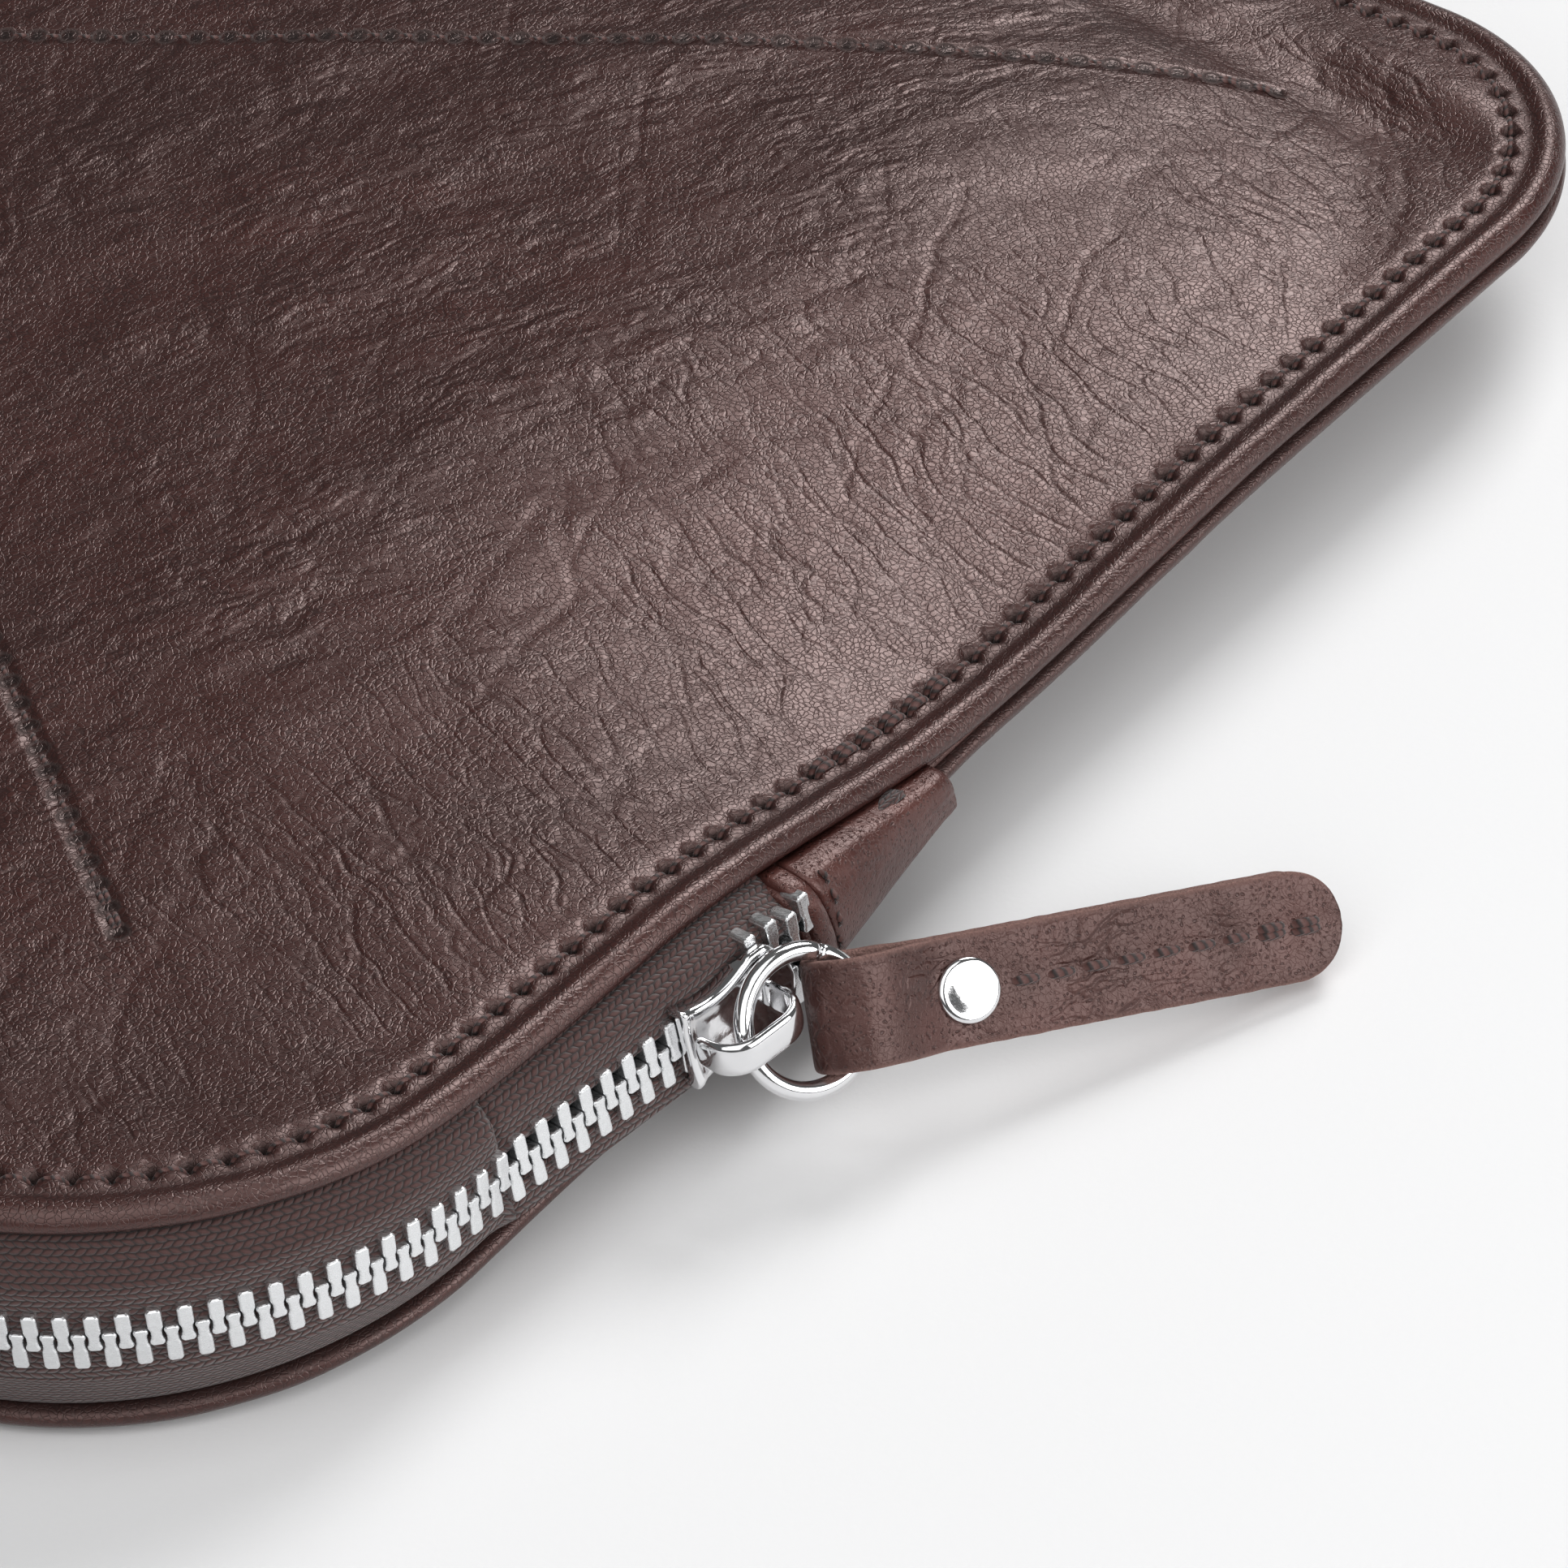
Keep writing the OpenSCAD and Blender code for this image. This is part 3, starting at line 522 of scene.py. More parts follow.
STITCH_CORNER = math.pi / 2 * (SEWN_R - STITCH_IN)
STITCH_ZIP_CORNER = math.pi / 2 * (ZIP_R - STITCH_IN)
FIRST_HOLE_Y = 2.86
OUTLINE = [  # length on the stitch line, then a straight (x, y, dx, dy) or an arc (cx, cy, r, from)
    (SEWN_CY - FIRST_HOLE_Y, "line", (HALF_L, FIRST_HOLE_Y, 0, 1)),
    (STITCH_CORNER, "arc", (SEWN_CX, SEWN_CY, SEWN_R, 0)),
    (2 * SEWN_CX, "line", (SEWN_CX, HALF_W, -1, 0)),
    (STITCH_CORNER, "arc", (-SEWN_CX, SEWN_CY, SEWN_R, 90)),
    (SEWN_CY - ZIP_CY, "line", (-HALF_L, SEWN_CY, 0, -1)),
    (STITCH_ZIP_CORNER, "arc", (-ZIP_CX, ZIP_CY, ZIP_R, 180)),
    (2 * ZIP_CX, "line", (-ZIP_CX, -HALF_W, 1, 0)),
    (STITCH_ZIP_CORNER, "arc", (ZIP_CX, ZIP_CY, ZIP_R, 270)),
    (FIRST_HOLE_Y - ZIP_CY, "line", (HALF_L, ZIP_CY, 0, 1)),
]
STITCH_LEN = sum(part[0] for part in OUTLINE)
STITCHES = 307
PITCH = STITCH_LEN / STITCHES


def outline(t):
    """x, y and the outward direction at a length along the stitch line."""
    t = np.asarray(t, float) % STITCH_LEN
    out = np.zeros((len(t), 4))
    start = 0
    for length, kind, (a, b, c, d) in OUTLINE:
        here = (t >= start) & (t < start + length)
        along = t[here] - start
        if kind == "line":
            out[here] = np.stack([a + c * along, b + d * along, 0 * along + d, 0 * along - c], 1)
        else:
            angle = np.radians(d + 90 * along / length)
            way = np.stack([np.cos(angle), np.sin(angle)], 1)
            out[here] = np.concatenate([[a, b] + c * way, way], 1)
        start += length
    return out


def inset(stations, d):
    p = stations[:, :2] - min(d, DEEP) * stations[:, 2:]
    middle = np.stack([np.clip(p[:, 0], -SPINE, SPINE), 0 * p[:, 0]], 1)
    return p + (middle - p) * max(0, d - DEEP) / (HALF_W - DEEP)


def relief(x, y):
    """Soft waves of the front panel, in mm."""
    wide = 0.5 * fbm(x / 52, y / 47, 1, 2)
    mid_a = fbm(*turned(x, y, 58, 26, 7.5), 5, 2)
    mid_b = fbm(*turned(x, y, -14, 24, 8.5), 9, 2)
    near_side = ease((np.abs(x) - 112) / 38)
    waves = 0.26 * mid_a * (1 - near_side) + 0.13 * mid_b * near_side
    along = ease((x - 88) / 22) * (1 - ease((x - 146) / 12))
    fold = along * (0.75 * bell(y - 100, 3.2) - 0.95 * bell(y - 92.5, 3.4))
    return wide + waves + fold


# The turned edge in section: inset, and height above the panel's own surface
EDGE_TOP = [(9.4, 0), (8.2, 0.04), (7.2, 0.06), (6.6, 0.0), (6.2, -0.06), (5.9, -0.12), (5.7, -0.17),
            (5.5, -0.19), (5.3, -0.18), (5.1, -0.15), (4.8, -0.14), (4.3, -0.28), (3.8, -0.40),
            (3.3, -0.34), (2.8, -0.12), (2.3, 0.08), (1.8, 0.12), (1.3, 0.0), (0.85, -0.26),
            (0.45, -0.66), (0.18, -1.12), (0.10, -1.6), (0.3, -2.02), (0.8, -2.3), (1.8, -2.42),
            (4.0, -2.38), (9.0, -2.35)]
STATION_SHARES = [0, 0.09, 0.18, 0.32, 0.5, 0.68, 0.82, 0.91]
HOLE_R, HOLE_DEPTH = 0.58, 1.6


def panel(name, node, front, shares, step, spacing):
    """A whole panel: the turned edge with its stitch holes, then the middle in wider steps."""
    base_z = front_z if front else back_z
    up = 1 if front else -1
    t = ((np.arange(STITCHES)[:, None] + np.array(shares)) * PITCH).ravel()
    fine = outline(t)
    from_hole = (np.abs((t / PITCH + 0.5) % 1 - 0.5)) * PITCH
    points, painted_shade, calm = [], [], []
    for d, h in EDGE_TOP:
        p = inset(fine, d)
        soft = relief(p[:, 0], p[:, 1]) * ease((d - 3) / 8) if front else 0
        from_row = (d - STITCH_IN) / (HOLE_R * 1.1)
        hole = np.exp(-(((from_hole / HOLE_R) ** 2 + from_row**2) ** 1.5))
        on_top = h > -0.5
        wear = 0.12 * noise(t / 5.0, np.full(len(t), d / 2.0), 4) * (h > -2.2)
        z = base_z(p[:, 0], p[:, 1]) + up * (h + soft + 0.5 * wear - HOLE_DEPTH * hole * on_top)
        points.append(np.column_stack([p, z]))
        # Painted shade: darker in the needle holes, in the stitch groove, in the valley beside the bead and
        # under the turned edge
        groove = 0.18 * bell(d - STITCH_IN, 0.7) + 0.25 * bell(d - 3.8, 0.5)
        painted_shade.append(np.clip(1.5 * hole * on_top + groove * on_top + (0.5 if h < -2.2 else 0), 0, 1))
        calm.append(np.full(len(t), 1 - ease((d - 5.0) / 6.0)))
    edge_rings = len(points)
    count = len(t)
    total = np.concatenate(points)
    faces = bridge_rings(edge_rings, count)
    picked = np.arange(0, count, step)
    coarse = fine[picked]
    m = len(coarse)

    def middle(first, height, flip, spacing):
        """Rings from the edge to the spine, joined to the finer edge by wider faces."""
        nonlocal total, faces
        steps = int((HALF_W - 0.5 - first) / spacing)
        insets = [first + spacing * (i + 1) for i in range(steps)] + [HALF_W]
        base = len(total)
        rows = []
        for d in insets:
            p = inset(coarse, d)
            soft = relief(p[:, 0], p[:, 1]) if front and not flip else 0
            rows.append(np.column_stack([p, base_z(p[:, 0], p[:, 1]) + up * (height + soft)]))
        total = np.concatenate([total] + rows)
        for values in (painted_shade, calm):
            values.append(np.zeros(m * len(insets)))
        edge = (edge_rings - 1) * count if flip else 0
        for k in range(m):
            outer = [edge + (k * step + i) % count for i in range(step + 1)]
            a, b = base + k, base + (k + 1) % m
            faces.append(outer[::-1] + [a, b] if not flip else outer + [b, a])
        ring_faces = bridge_rings(len(insets), m, base)
        faces += ring_faces if flip else [f[::-1] for f in ring_faces]

    middle(EDGE_TOP[0][0], 0.0, False, spacing)
    middle(EDGE_TOP[-1][0], -PANEL_T - 0.5, True, 12.0)
    if not front:
        faces = [list(f)[::-1] for f in faces]
    piece = make(name, total, faces, LEATHER, "pouch", [node],
                 floats={"painted_shade": np.concatenate(painted_shade), "calm": np.concatenate(calm)})
    weld(piece)


panel("front_panel_leather", "front_panel", True, STATION_SHARES, 4, 2.6)
panel("back_panel_leather", "back_panel", False, [0, 0.12, 0.3, 0.5, 0.7, 0.88], 6, 3.2)


def section_sweep(name, node, stations, section, material, weave=False):
    """Sweeps a closed section, worked out at each station, into one piece of the pouch."""
    rings = [section(station) for station in stations]
    points, faces = loft(rings)
    vectors = None
    if weave:
        along = np.repeat(steps_along(np.array([ring.mean(0) for ring in rings])), len(rings[0]))
        across = np.concatenate([steps_along(ring) for ring in rings])
        vectors = {"weave": np.column_stack([along, across, 0 * across])}
    weld(make(name, points, faces, material, "pouch", [node], vectors=vectors))


def side_points(a, b, count):
    a, b = np.array(a, float), np.array(b, float)
    steps = np.linspace(0, 1, count)[:, None]
    outward = [[1.0 if a[0] > 0 else -1.0, 0.0]]
    return np.column_stack([a + (b - a) * steps, np.repeat(outward, count, 0)])


def long_side(first_x, last_x, y, count):
    """The side along X at y, from one x to the other."""
    x = np.linspace(first_x, last_x, count)
    return np.column_stack([x, np.full(count, y), 0 * x, np.full(count, math.copysign(1.0, y))])


def arc_points(cx, cy, r, first, count):
    a = np.radians(first + 90 * np.linspace(0, 1, count))
    return np.column_stack([cx + r * np.cos(a), cy + r * np.sin(a), np.cos(a), np.sin(a)])


# A station is x, y and the outward direction. The tapes and the welt lie against these two heights
LAYER_GAP, EDGE_INSETS = 0.2, (0, 5.5, 7)


def roll_under(s):
    return min(front_z(s[0] - d * s[2], s[1] - d * s[3]) for d in EDGE_INSETS) - ROLL_T - LAYER_GAP


def roll_over(s):
    return max(back_z(s[0] - d * s[2], s[1] - d * s[3]) for d in EDGE_INSETS) + ROLL_T + LAYER_GAP


# Half tapes: out from under the turned edge, round a soft bend, then flat to the chain and its cord
HALF_SLIT, SLIT_OPEN, SLIT_LEN = 0.35, 2.45, 8.5
TAPE_PLANE, TAPE_NARROW, SLIDER_LEAN = 5.2, 0.9, 8.0
POST_CLEAR = 1.75  # half the gap, hidden by the teeth, that lets the slider's post travel


def tape_section(s, upper):
    sign = 1 if upper else -1
    sheet = roll_under(s) if upper else roll_over(s)
    on_run = s[0] > 0 and s[1] >= RUN_START
    chain = chain_z(s[0], s[1])
    under_tab = ease((s[1] - RUN_END) / (TAB_START - RUN_END))
    slit = HALF_SLIT + (SLIT_OPEN * ease(1 - abs(s[1] - RUN_END) / SLIT_LEN) if s[0] > 0 else 0)
    if on_run:
        slit = max(slit, POST_CLEAR)
    free = min(TAPE_PLANE, abs(sheet - chain) - 1.2) * (1 - TAPE_NARROW * under_tab)
    reach = max(free, slit + 0.5)
    off = -chain_off(s[1]) if abs(s[0]) > HALF_L - 0.01 else -CHAIN_OUT
    lean = math.tan(math.radians(SLIDER_LEAN)) if on_run else 0.0
    knee, edge = off + sign * lean * reach, off + sign * lean * slit
    h = TAPE_T / 2
    # Over the sheet's edge, round the knee, then along the chain's plane to a cord at the slit
    outer = [(6.8, sheet), (3.2, sheet), (1.6, sheet - sign * 0.06), (1.2, sheet - sign * 0.22)]
    for share in (0.12, 0.3, 0.5, 0.7, 0.88):
        outer.append((1.2 + (knee - h - 1.2) * share, sheet + (chain + sign * reach - sheet) * share))
    for share in (0.0, 0.25, 0.5, 0.75, 0.9, 1.0):
        cord = 0.22 if share == 0.9 else 0.0
        z = chain + sign * (reach + (slit - reach) * share)
        outer.append((knee - h + (edge - knee) * share - cord, z))
    inner = [(edge + h, chain + sign * slit), (knee + h, chain + sign * (reach - h)),
             (1.2 + TAPE_T, sheet - sign * (TAPE_T + 0.1)), (6.8, sheet - sign * TAPE_T)]
    return np.array([(s[0] - d * s[2], s[1] - d * s[3], z) for d, z in outer + inner])


TAPE_END = TAB_END - 6
LONG_ZIP = np.concatenate([
    side_points((-HALF_L, TAPE_END), (-HALF_L, ZIP_CY), 40), arc_points(-ZIP_CX, ZIP_CY, ZIP_R, 180, 50)[1:],
    long_side(-ZIP_CX, ZIP_CX, -HALF_W, 120)[1:], arc_points(ZIP_CX, ZIP_CY, ZIP_R, 270, 50)[1:],
    side_points((HALF_L, ZIP_CY + 1), (HALF_L, RUN_START), 3)])
RUN_ZIP = side_points((HALF_L, RUN_START), (HALF_L, TAPE_END), 44)
for label, upper in (("upper", True), ("lower", False)):
    for node_name, path in ((f"{label}_tape", LONG_ZIP), (f"{label}_tape_run", RUN_ZIP)):
        section_sweep(f"{node_name}_cloth", node_name, path, lambda s, up=upper: tape_section(s, up), WEAVE,
                      weave=True)


# ---------------------------------------------------------------- teeth

CHAIN_R = ZIP_R + CHAIN_OUT
CORNER_LEN = CHAIN_R * math.pi / 2
CORNER_1 = TAB_START - ZIP_CY
LONG_SIDE = CORNER_1 + CORNER_LEN
CORNER_2 = LONG_SIDE + 2 * ZIP_CX
LEFT_SIDE = CORNER_2 + CORNER_LEN
CHAIN_LEN = LEFT_SIDE + CORNER_1
SLIDER_Y = -41.0
OPEN_FROM, OPEN_GAP, POST_GAP, NOSE_Y = 2.2, 1.5, 2.6, 6.5
RUN_HEADING = math.degrees(math.atan(RUN_FLARE))
FIRST_TOOTH, RUN_TEETH = 0.8, 15
REST_START = FIRST_TOOTH + RUN_TEETH * TOOTH_PITCH


def chain_pose(s):
    """x, y and heading of a tooth at a length along the chain."""
    def side(y):
        return HALF_L + chain_off(y), y, -RUN_HEADING if RUN_START < y < RUN_END else 0.0

    def corner(cx, heading):
        a = math.radians(heading)
        return cx + CHAIN_R * math.cos(a), ZIP_CY + CHAIN_R * math.sin(a), heading

    if s < CORNER_1:
        return side(TAB_START - s)
    if s < LONG_SIDE:
        return corner(ZIP_CX, -math.degrees((s - CORNER_1) / CHAIN_R))
    if s < CORNER_2:
        return ZIP_CX - (s - LONG_SIDE), -HALF_W - CHAIN_OUT, -90.0
    if s < LEFT_SIDE:
        return corner(-ZIP_CX, -90 - math.degrees((s - CORNER_2) / CHAIN_R))
    x, y, a = side(ZIP_CY + (s - LEFT_SIDE))
    return -x, y, 180 - a


def turn(axis, degrees):
    return np.array(Matrix.Rotation(math.radians(degrees), 3, axis))


# Half width and height of a tooth: a broad clamp on the tape, a waist and a head that meshes
TOOTH_LEVELS = [(0.40, 3.02), (0.60, 2.92), (0.70, 2.70), (0.69, 1.5), (0.66, 1.0), (0.52, 0.62),
                (0.50, 0.1), (0.56, -0.25), (0.66, -0.5), (0.66, -0.72), (0.56, -0.88), (0.36, -0.94)]
TOOTH_DEEP, TOOTH_CHAMFER, TOOTH_TILT = 1.2, 0.16, 1.6


def tooth_mesh():
    rings, c = [], TOOTH_CHAMFER
    for half, z in TOOTH_LEVELS:
        deep = TOOTH_DEEP - (0.2 if half < 0.45 else 0)
        quarter = [(deep, half - c), (deep - c, half)]
        side = quarter + [(-x, y) for x, y in quarter[::-1]]
        rings.append([(deep, -half + c, z)] + [(x, y, z) for x, y in side] + [
            (x, -y, z) for x, y in side[:0:-1]])
    return loft(np.array(rings))


def teeth(name, node, start, stop, upper, lean):
    one, one_faces = tooth_mesh()
    one = one * [1, 1, 1 if upper else -1]
    points, faces = [], []
    for i, s in enumerate(np.arange(start, stop, TOOTH_PITCH)):
        x, y, heading = chain_pose(s)
        tilt = TOOTH_TILT * noise(i * 0.93, 3.1, 8)
        ahead = y - SLIDER_Y if x > 0 else 0.0
        spread = 0.0 if ahead < OPEN_FROM else POST_GAP if ahead < NOSE_Y else OPEN_GAP
        m = turn("Z", heading) @ turn("Y", -lean) @ turn("X", tilt)
        points.append((one + [0, 0, spread if upper else -spread]) @ m.T + [x, y, chain_z(x, y)])
        faces += [[v + i * len(one) for v in (f if upper else f[::-1])] for f in one_faces]
    piece = make(name, np.concatenate(points), faces, TOOTH_METAL, "pouch", [node],
                 smooth=False)
    bevel = piece.modifiers.new("soft edges", "BEVEL")
    bevel.width, bevel.segments = 0.09 * MM, 2
    bevel.limit_method, bevel.angle_limit = "ANGLE", math.radians(35)
    weld(piece, 1e-6)


HALVES = (("upper", 0.0), ("lower", TOOTH_PITCH / 2))
for label, later in HALVES:
    teeth(f"{label}_teeth_row", f"{label}_teeth", REST_START + later, CHAIN_LEN - 2, label == "upper", 0)
for label, later in HALVES:
    teeth(f"{label}_teeth_run_row", f"{label}_teeth_run", FIRST_TOOTH + later, REST_START - 0.1 + later,
          label == "upper", SLIDER_LEAN)

PLAIN_NODES = ((TOOTH_METAL, ("top_stops", "bottom_stop")), (LINING, ("front_lining", "back_lining")))
for material, node_names in PLAIN_NODES:
    for node_name in node_names:
        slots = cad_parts[node_name].data.materials
        slots.clear()
        slots.append(material)


# ---------------------------------------------------------------- seam and end tabs

WELT_END = TAB_END - 10
SEWN_PATH = np.concatenate([
    side_points((HALF_L, WELT_END), (HALF_L, SEWN_CY), 60), arc_points(SEWN_CX, SEWN_CY, SEWN_R, 0, 36)[1:],
    long_side(SEWN_CX, -SEWN_CX, HALF_W, 120)[1:], arc_points(-SEWN_CX, SEWN_CY, SEWN_R, 90, 36)[1:],
    side_points((-HALF_L, SEWN_CY), (-HALF_L, WELT_END), 60)[1:]])


def welt_section(s):
    top, bottom = roll_under(s) + 0.1, roll_over(s) - 0.1
    mid, half = (top + bottom) / 2, (top - bottom) / 2
    out = 0.95 + 0.15 * noise(s[0] / 9 + s[1] / 7, 1.7, 3)
    face = [(1.4, 1), (0.35, 0.85), (0, 0.45), (0.12, 0.08), (0.3, 0), (0.1, -0.1), (0, -0.45), (0.35, -0.85),
            (1.4, -1)]
    section = [(6.5, -1), (6.5, 1)] + [(out + d, h) for d, h in face]
    return np.array([(s[0] - d * s[2], s[1] - d * s[3], mid + h * half) for d, h in section])


section_sweep("side_welt_strip", "side_welt", SEWN_PATH, welt_section, TAB_LEATHER)

TAB_T, TAB_OUT, TAB_SEAM_OUT, TAB_GAP = 1.1, 2.9, 0.3, 0.6


def tab_point(y, degrees, lift):
    """A point of the tab's outer face; lift raises it off the surface."""
    share = (y - TAB_START) / (TAB_END - TAB_START)
    top = front_edge(y) - ROLL_T - 0.12
    bottom = back_edge(y) + 1.3 * (1 - share)
    mid, half = (top + bottom) / 2, (top - bottom) / 2
    bulge = TAB_OUT - (TAB_OUT - TAB_SEAM_OUT) * share
    a = math.radians(degrees)
    cosine = max(0.0, math.cos(a)) ** 0.6
    tuck = 2.9 * (1 - cosine) ** 2 if degrees > 0 else 1.2 * (1 - cosine) ** 2
    return np.array([HALF_L + TAB_GAP + TAB_T + bulge * cosine - tuck + lift * math.cos(a), y,
                     mid + (half + min(lift, 0.2)) * math.sin(a)])


def tab_shape(name, nodes, side, columns, creased, thick):
    """A shell over the tab's own surface; columns are (length from the tab's start, lift) of its folds."""
    rings = []
    for start, lift in columns:
        y = TAB_START + start
        outer, inner = [], []
        for a in np.linspace(-90, 90, 37):
            crease = 0.10 * fbm(y / 3.1 + 5, a / 21.0, 6, 2) * creased
            skew = (1.3 if start < 4 else 1.0) * (1 if y < -20 else 0.4) * math.sin(math.radians(a))
            outer.append(tab_point(y, a, lift + crease) - [0, skew, 0])
            inner.append(tab_point(y, a, lift - thick) - [0, skew, 0])
        rings.append(np.array(outer + inner[::-1]) * [side, 1, 1])
    points, faces = loft(rings)
    weld(make(name, points, faces, TAB_LEATHER, "pouch", nodes))


TAB_BODY = [(2.35, -0.35), (2.5, 0.0), (2.75, 0.16), (3.2, 0.2), (3.9, 0.1), (4.8, 0.12), (6.5, 0.2),
            (8.5, 0.25), (10.5, 0.25), (12.5, 0.22), (14.5, 0.2), (16.5, 0.15), (18.5, 0.15), (20.5, 0.2),
            (21.8, 0.25), (22.6, 0.15), (23.0, -0.3)]
TAB_LIP = [(-0.1, -0.5), (0.05, 0.05), (0.35, 0.42), (0.9, 0.55), (1.5, 0.52), (2.0, 0.36), (2.25, 0.0),
           (2.4, -0.5)]
TAB_UNDER = [(-0.75, -1.5), (-0.6, -1.0), (-0.3, -0.72), (0.3, -0.66), (1.2, -0.7), (2.4, -0.8)]
for side, label in ((1, "right"), (-1, "left")):
    tab_shape(f"{label}_tab_body", [f"{label}_end_tab"], side, TAB_BODY, 1.0, 0.9)
    tab_shape(f"{label}_tab_turned_edge", [], side, TAB_LIP, 0.6, 1.1)
    tab_shape(f"{label}_tab_inner_edge", [], side, TAB_UNDER, 0.6, 0.8)


# ---------------------------------------------------------------- stitching

def frames_along(path):
    """Sideways and upward directions along a path."""
    tangent = tangents(path)
    side = np.cross(tangent, [0.0, 0.0, 1.0])
    size = np.linalg.norm(side, axis=1)[:, None]
    side = np.where(size > 1e-4, side / np.maximum(size, 1e-4), [1.0, 0.0, 0.0])
    return side, np.cross(side, tangent)


def tube(path, radius, sides=7):
    """Points, faces and twist of a closed tube; the radius may change along it."""
    radius = np.broadcast_to(radius, (len(path),))
    side, up = frames_along(path)
    angles = np.arange(sides) * TAU / sides
    rings = path[:, None] + radius[:, None, None] * (
        np.cos(angles)[None, :, None] * side[:, None] + np.sin(angles)[None, :, None] * up[:, None])
    points, faces = loft(rings)
    n = len(path)
    twist = [np.repeat(steps_along(path), sides), np.tile(angles / TAU, n), np.zeros(n * sides)]
    return points, faces, np.column_stack(twist)


def join(parts):
    """One list of points and of faces from several."""
    faces, base = [], 0
    for part in parts:
        faces += [[v + base for v in face] for face in part[1]]
        base += len(part[0])
    return np.concatenate([part[0] for part in parts]), faces


def threads(name, node, body, tubes):
    points, faces = join(tubes)
    twist = np.concatenate([part[2] for part in tubes])
    make(name, points, faces, THREAD, body, [node], vectors={"weave": twist})


STITCH_SHARES = np.array([0.05, 0.12, 0.2, 0.32, 0.5, 0.68, 0.8, 0.88, 0.95])
STITCH_ARCH = np.array([-1.10, -0.72, -0.34, -0.06, 0.02, -0.06, -0.34, -0.72, -1.10])
STITCH_THICK = np.array([0.18, 0.24, 0.29, 0.32, 0.33, 0.32, 0.29, 0.24, 0.18])
THREAD_IN_GROOVE = 0.32


def border_threads(name, node, front):
    base_z, up = (front_z, 1) if front else (back_z, -1)
    parts = []
    for k in range(STITCHES):
        t = (k + STITCH_SHARES) * PITCH
        stations = outline(t)
        p = inset(stations, STITCH_IN)
        x_mid, y_mid = p[len(p) // 2]
        doubled = front and abs(x_mid) > HALF_L - 7 and TAB_START + 13 < y_mid < 4
        lift, stout = (0.45, 1.3) if doubled else (0.0, 1.0)
        for strand in ((-0.34, 0.36) if doubled else (0.0,)):
            across = strand + 0.06 * noise(k * 1.7, strand, 2)
            q = p - across * stations[:, 2:]
            soft = relief(q[:, 0], q[:, 1]) * ease((STITCH_IN - 3) / 8) if front else 0
            z = base_z(q[:, 0], q[:, 1]) + up * (soft - THREAD_IN_GROOVE + lift + STITCH_ARCH * stout)
            parts.append(tube(np.column_stack([q, z]), STITCH_THICK * stout))
    threads(name, node, "pouch", parts)


border_threads("border_thread_front", "border_stitching_front", True)
border_threads("border_thread_back", "border_stitching_back", False)


def leather_z(x, y):
    return front_z(x, y) + relief(x, y)


def crossing_rows():
    """The rows of stitches from the panel's middle to their ends, the last two stitches of each doubled."""
    parts, holes = [], []
    start = np.array([0.0, ROW_MIDDLE])
    for end in ROW_ENDS:
        length = np.linalg.norm(end - start)
        way = (end - start) / length
        across = np.array([-way[1], way[0]])
        count = int((length - ROW_GAP) / ROW_PITCH)
        for k in range(count):
            near_end = count - k <= 2
            for strand in ((-0.28, 0.28) if near_end else (0.0,)):
                along = ROW_GAP + (k + STITCH_SHARES[::-1]) * ROW_PITCH
                q = start + way * along[:, None] + across * (strand + 0.10 * noise(k * 0.9, 2.2, 5))
                z = leather_z(q[:, 0], q[:, 1]) - 0.10 + (0.12 if near_end else 0) + STITCH_ARCH * 0.8
                parts.append(tube(np.column_stack([q, z]), STITCH_THICK * 0.85))
        holes += [start + way * (ROW_GAP + k * ROW_PITCH) for k in range(count + 1)]
    threads("diagonal_threads", "diagonal_stitching", "pouch", parts)
    return holes


# A dimple round each needle hole: radius, height above the leather, and painted shade
PIT_PROFILE = [(1.35, 0.01, 0.0), (1.05, 0.05, 0.6), (0.8, 0.0, 1.0), (0.5, -0.2, 1.0)]
PIT_SIDES, PIT_DEPTH = 12, 0.3


def stitch_pits(holes):
    parts = []
    ring = circle(PIT_SIDES)
    rings, last = len(PIT_PROFILE), (len(PIT_PROFILE) - 1) * PIT_SIDES
    faces = bridge_rings(rings, PIT_SIDES)
    faces += [(last + j, last + (j + 1) % PIT_SIDES, rings * PIT_SIDES) for j in range(PIT_SIDES)]
    for x, y in holes:
        xy = np.concatenate([[x, y] + r * ring for r, _, _ in PIT_PROFILE] + [[[x, y]]])
        lift = np.append(np.repeat([h for _, h, _ in PIT_PROFILE], PIT_SIDES), -PIT_DEPTH)
        parts.append((np.column_stack([xy, leather_z(xy[:, 0], xy[:, 1]) + lift]), faces))
    points, faces = join(parts)
    painted_shade = np.append(np.repeat([dark for _, _, dark in PIT_PROFILE], PIT_SIDES), 1.0)
    make("diagonal_stitch_holes", points, faces, LEATHER, "pouch", [],
         floats={"painted_shade": np.tile(painted_shade, len(holes)), "calm": np.ones(len(points))})


stitch_pits(crossing_rows())


def tab_threads():
    arch = list(zip((0, 0.15, 0.35, 0.5, 0.65, 0.85, 1), (-0.4, 0.1, 0.3, 0.34, 0.3, 0.1, -0.4)))
    parts = []
    for side in (1, -1):
        for middle in (-50, -23, 4, 31, 58):
            path = [tab_point(TAB_START + 3.1, middle + share * 18 - 9, lift) for share, lift in arch]
            parts.append(tube(np.array(path) * [side, 1, 1], 0.27))
    threads("tab_threads", "tab_stitching", "pouch", parts)


tab_threads()


# ---------------------------------------------------------------- slider, ring and puller

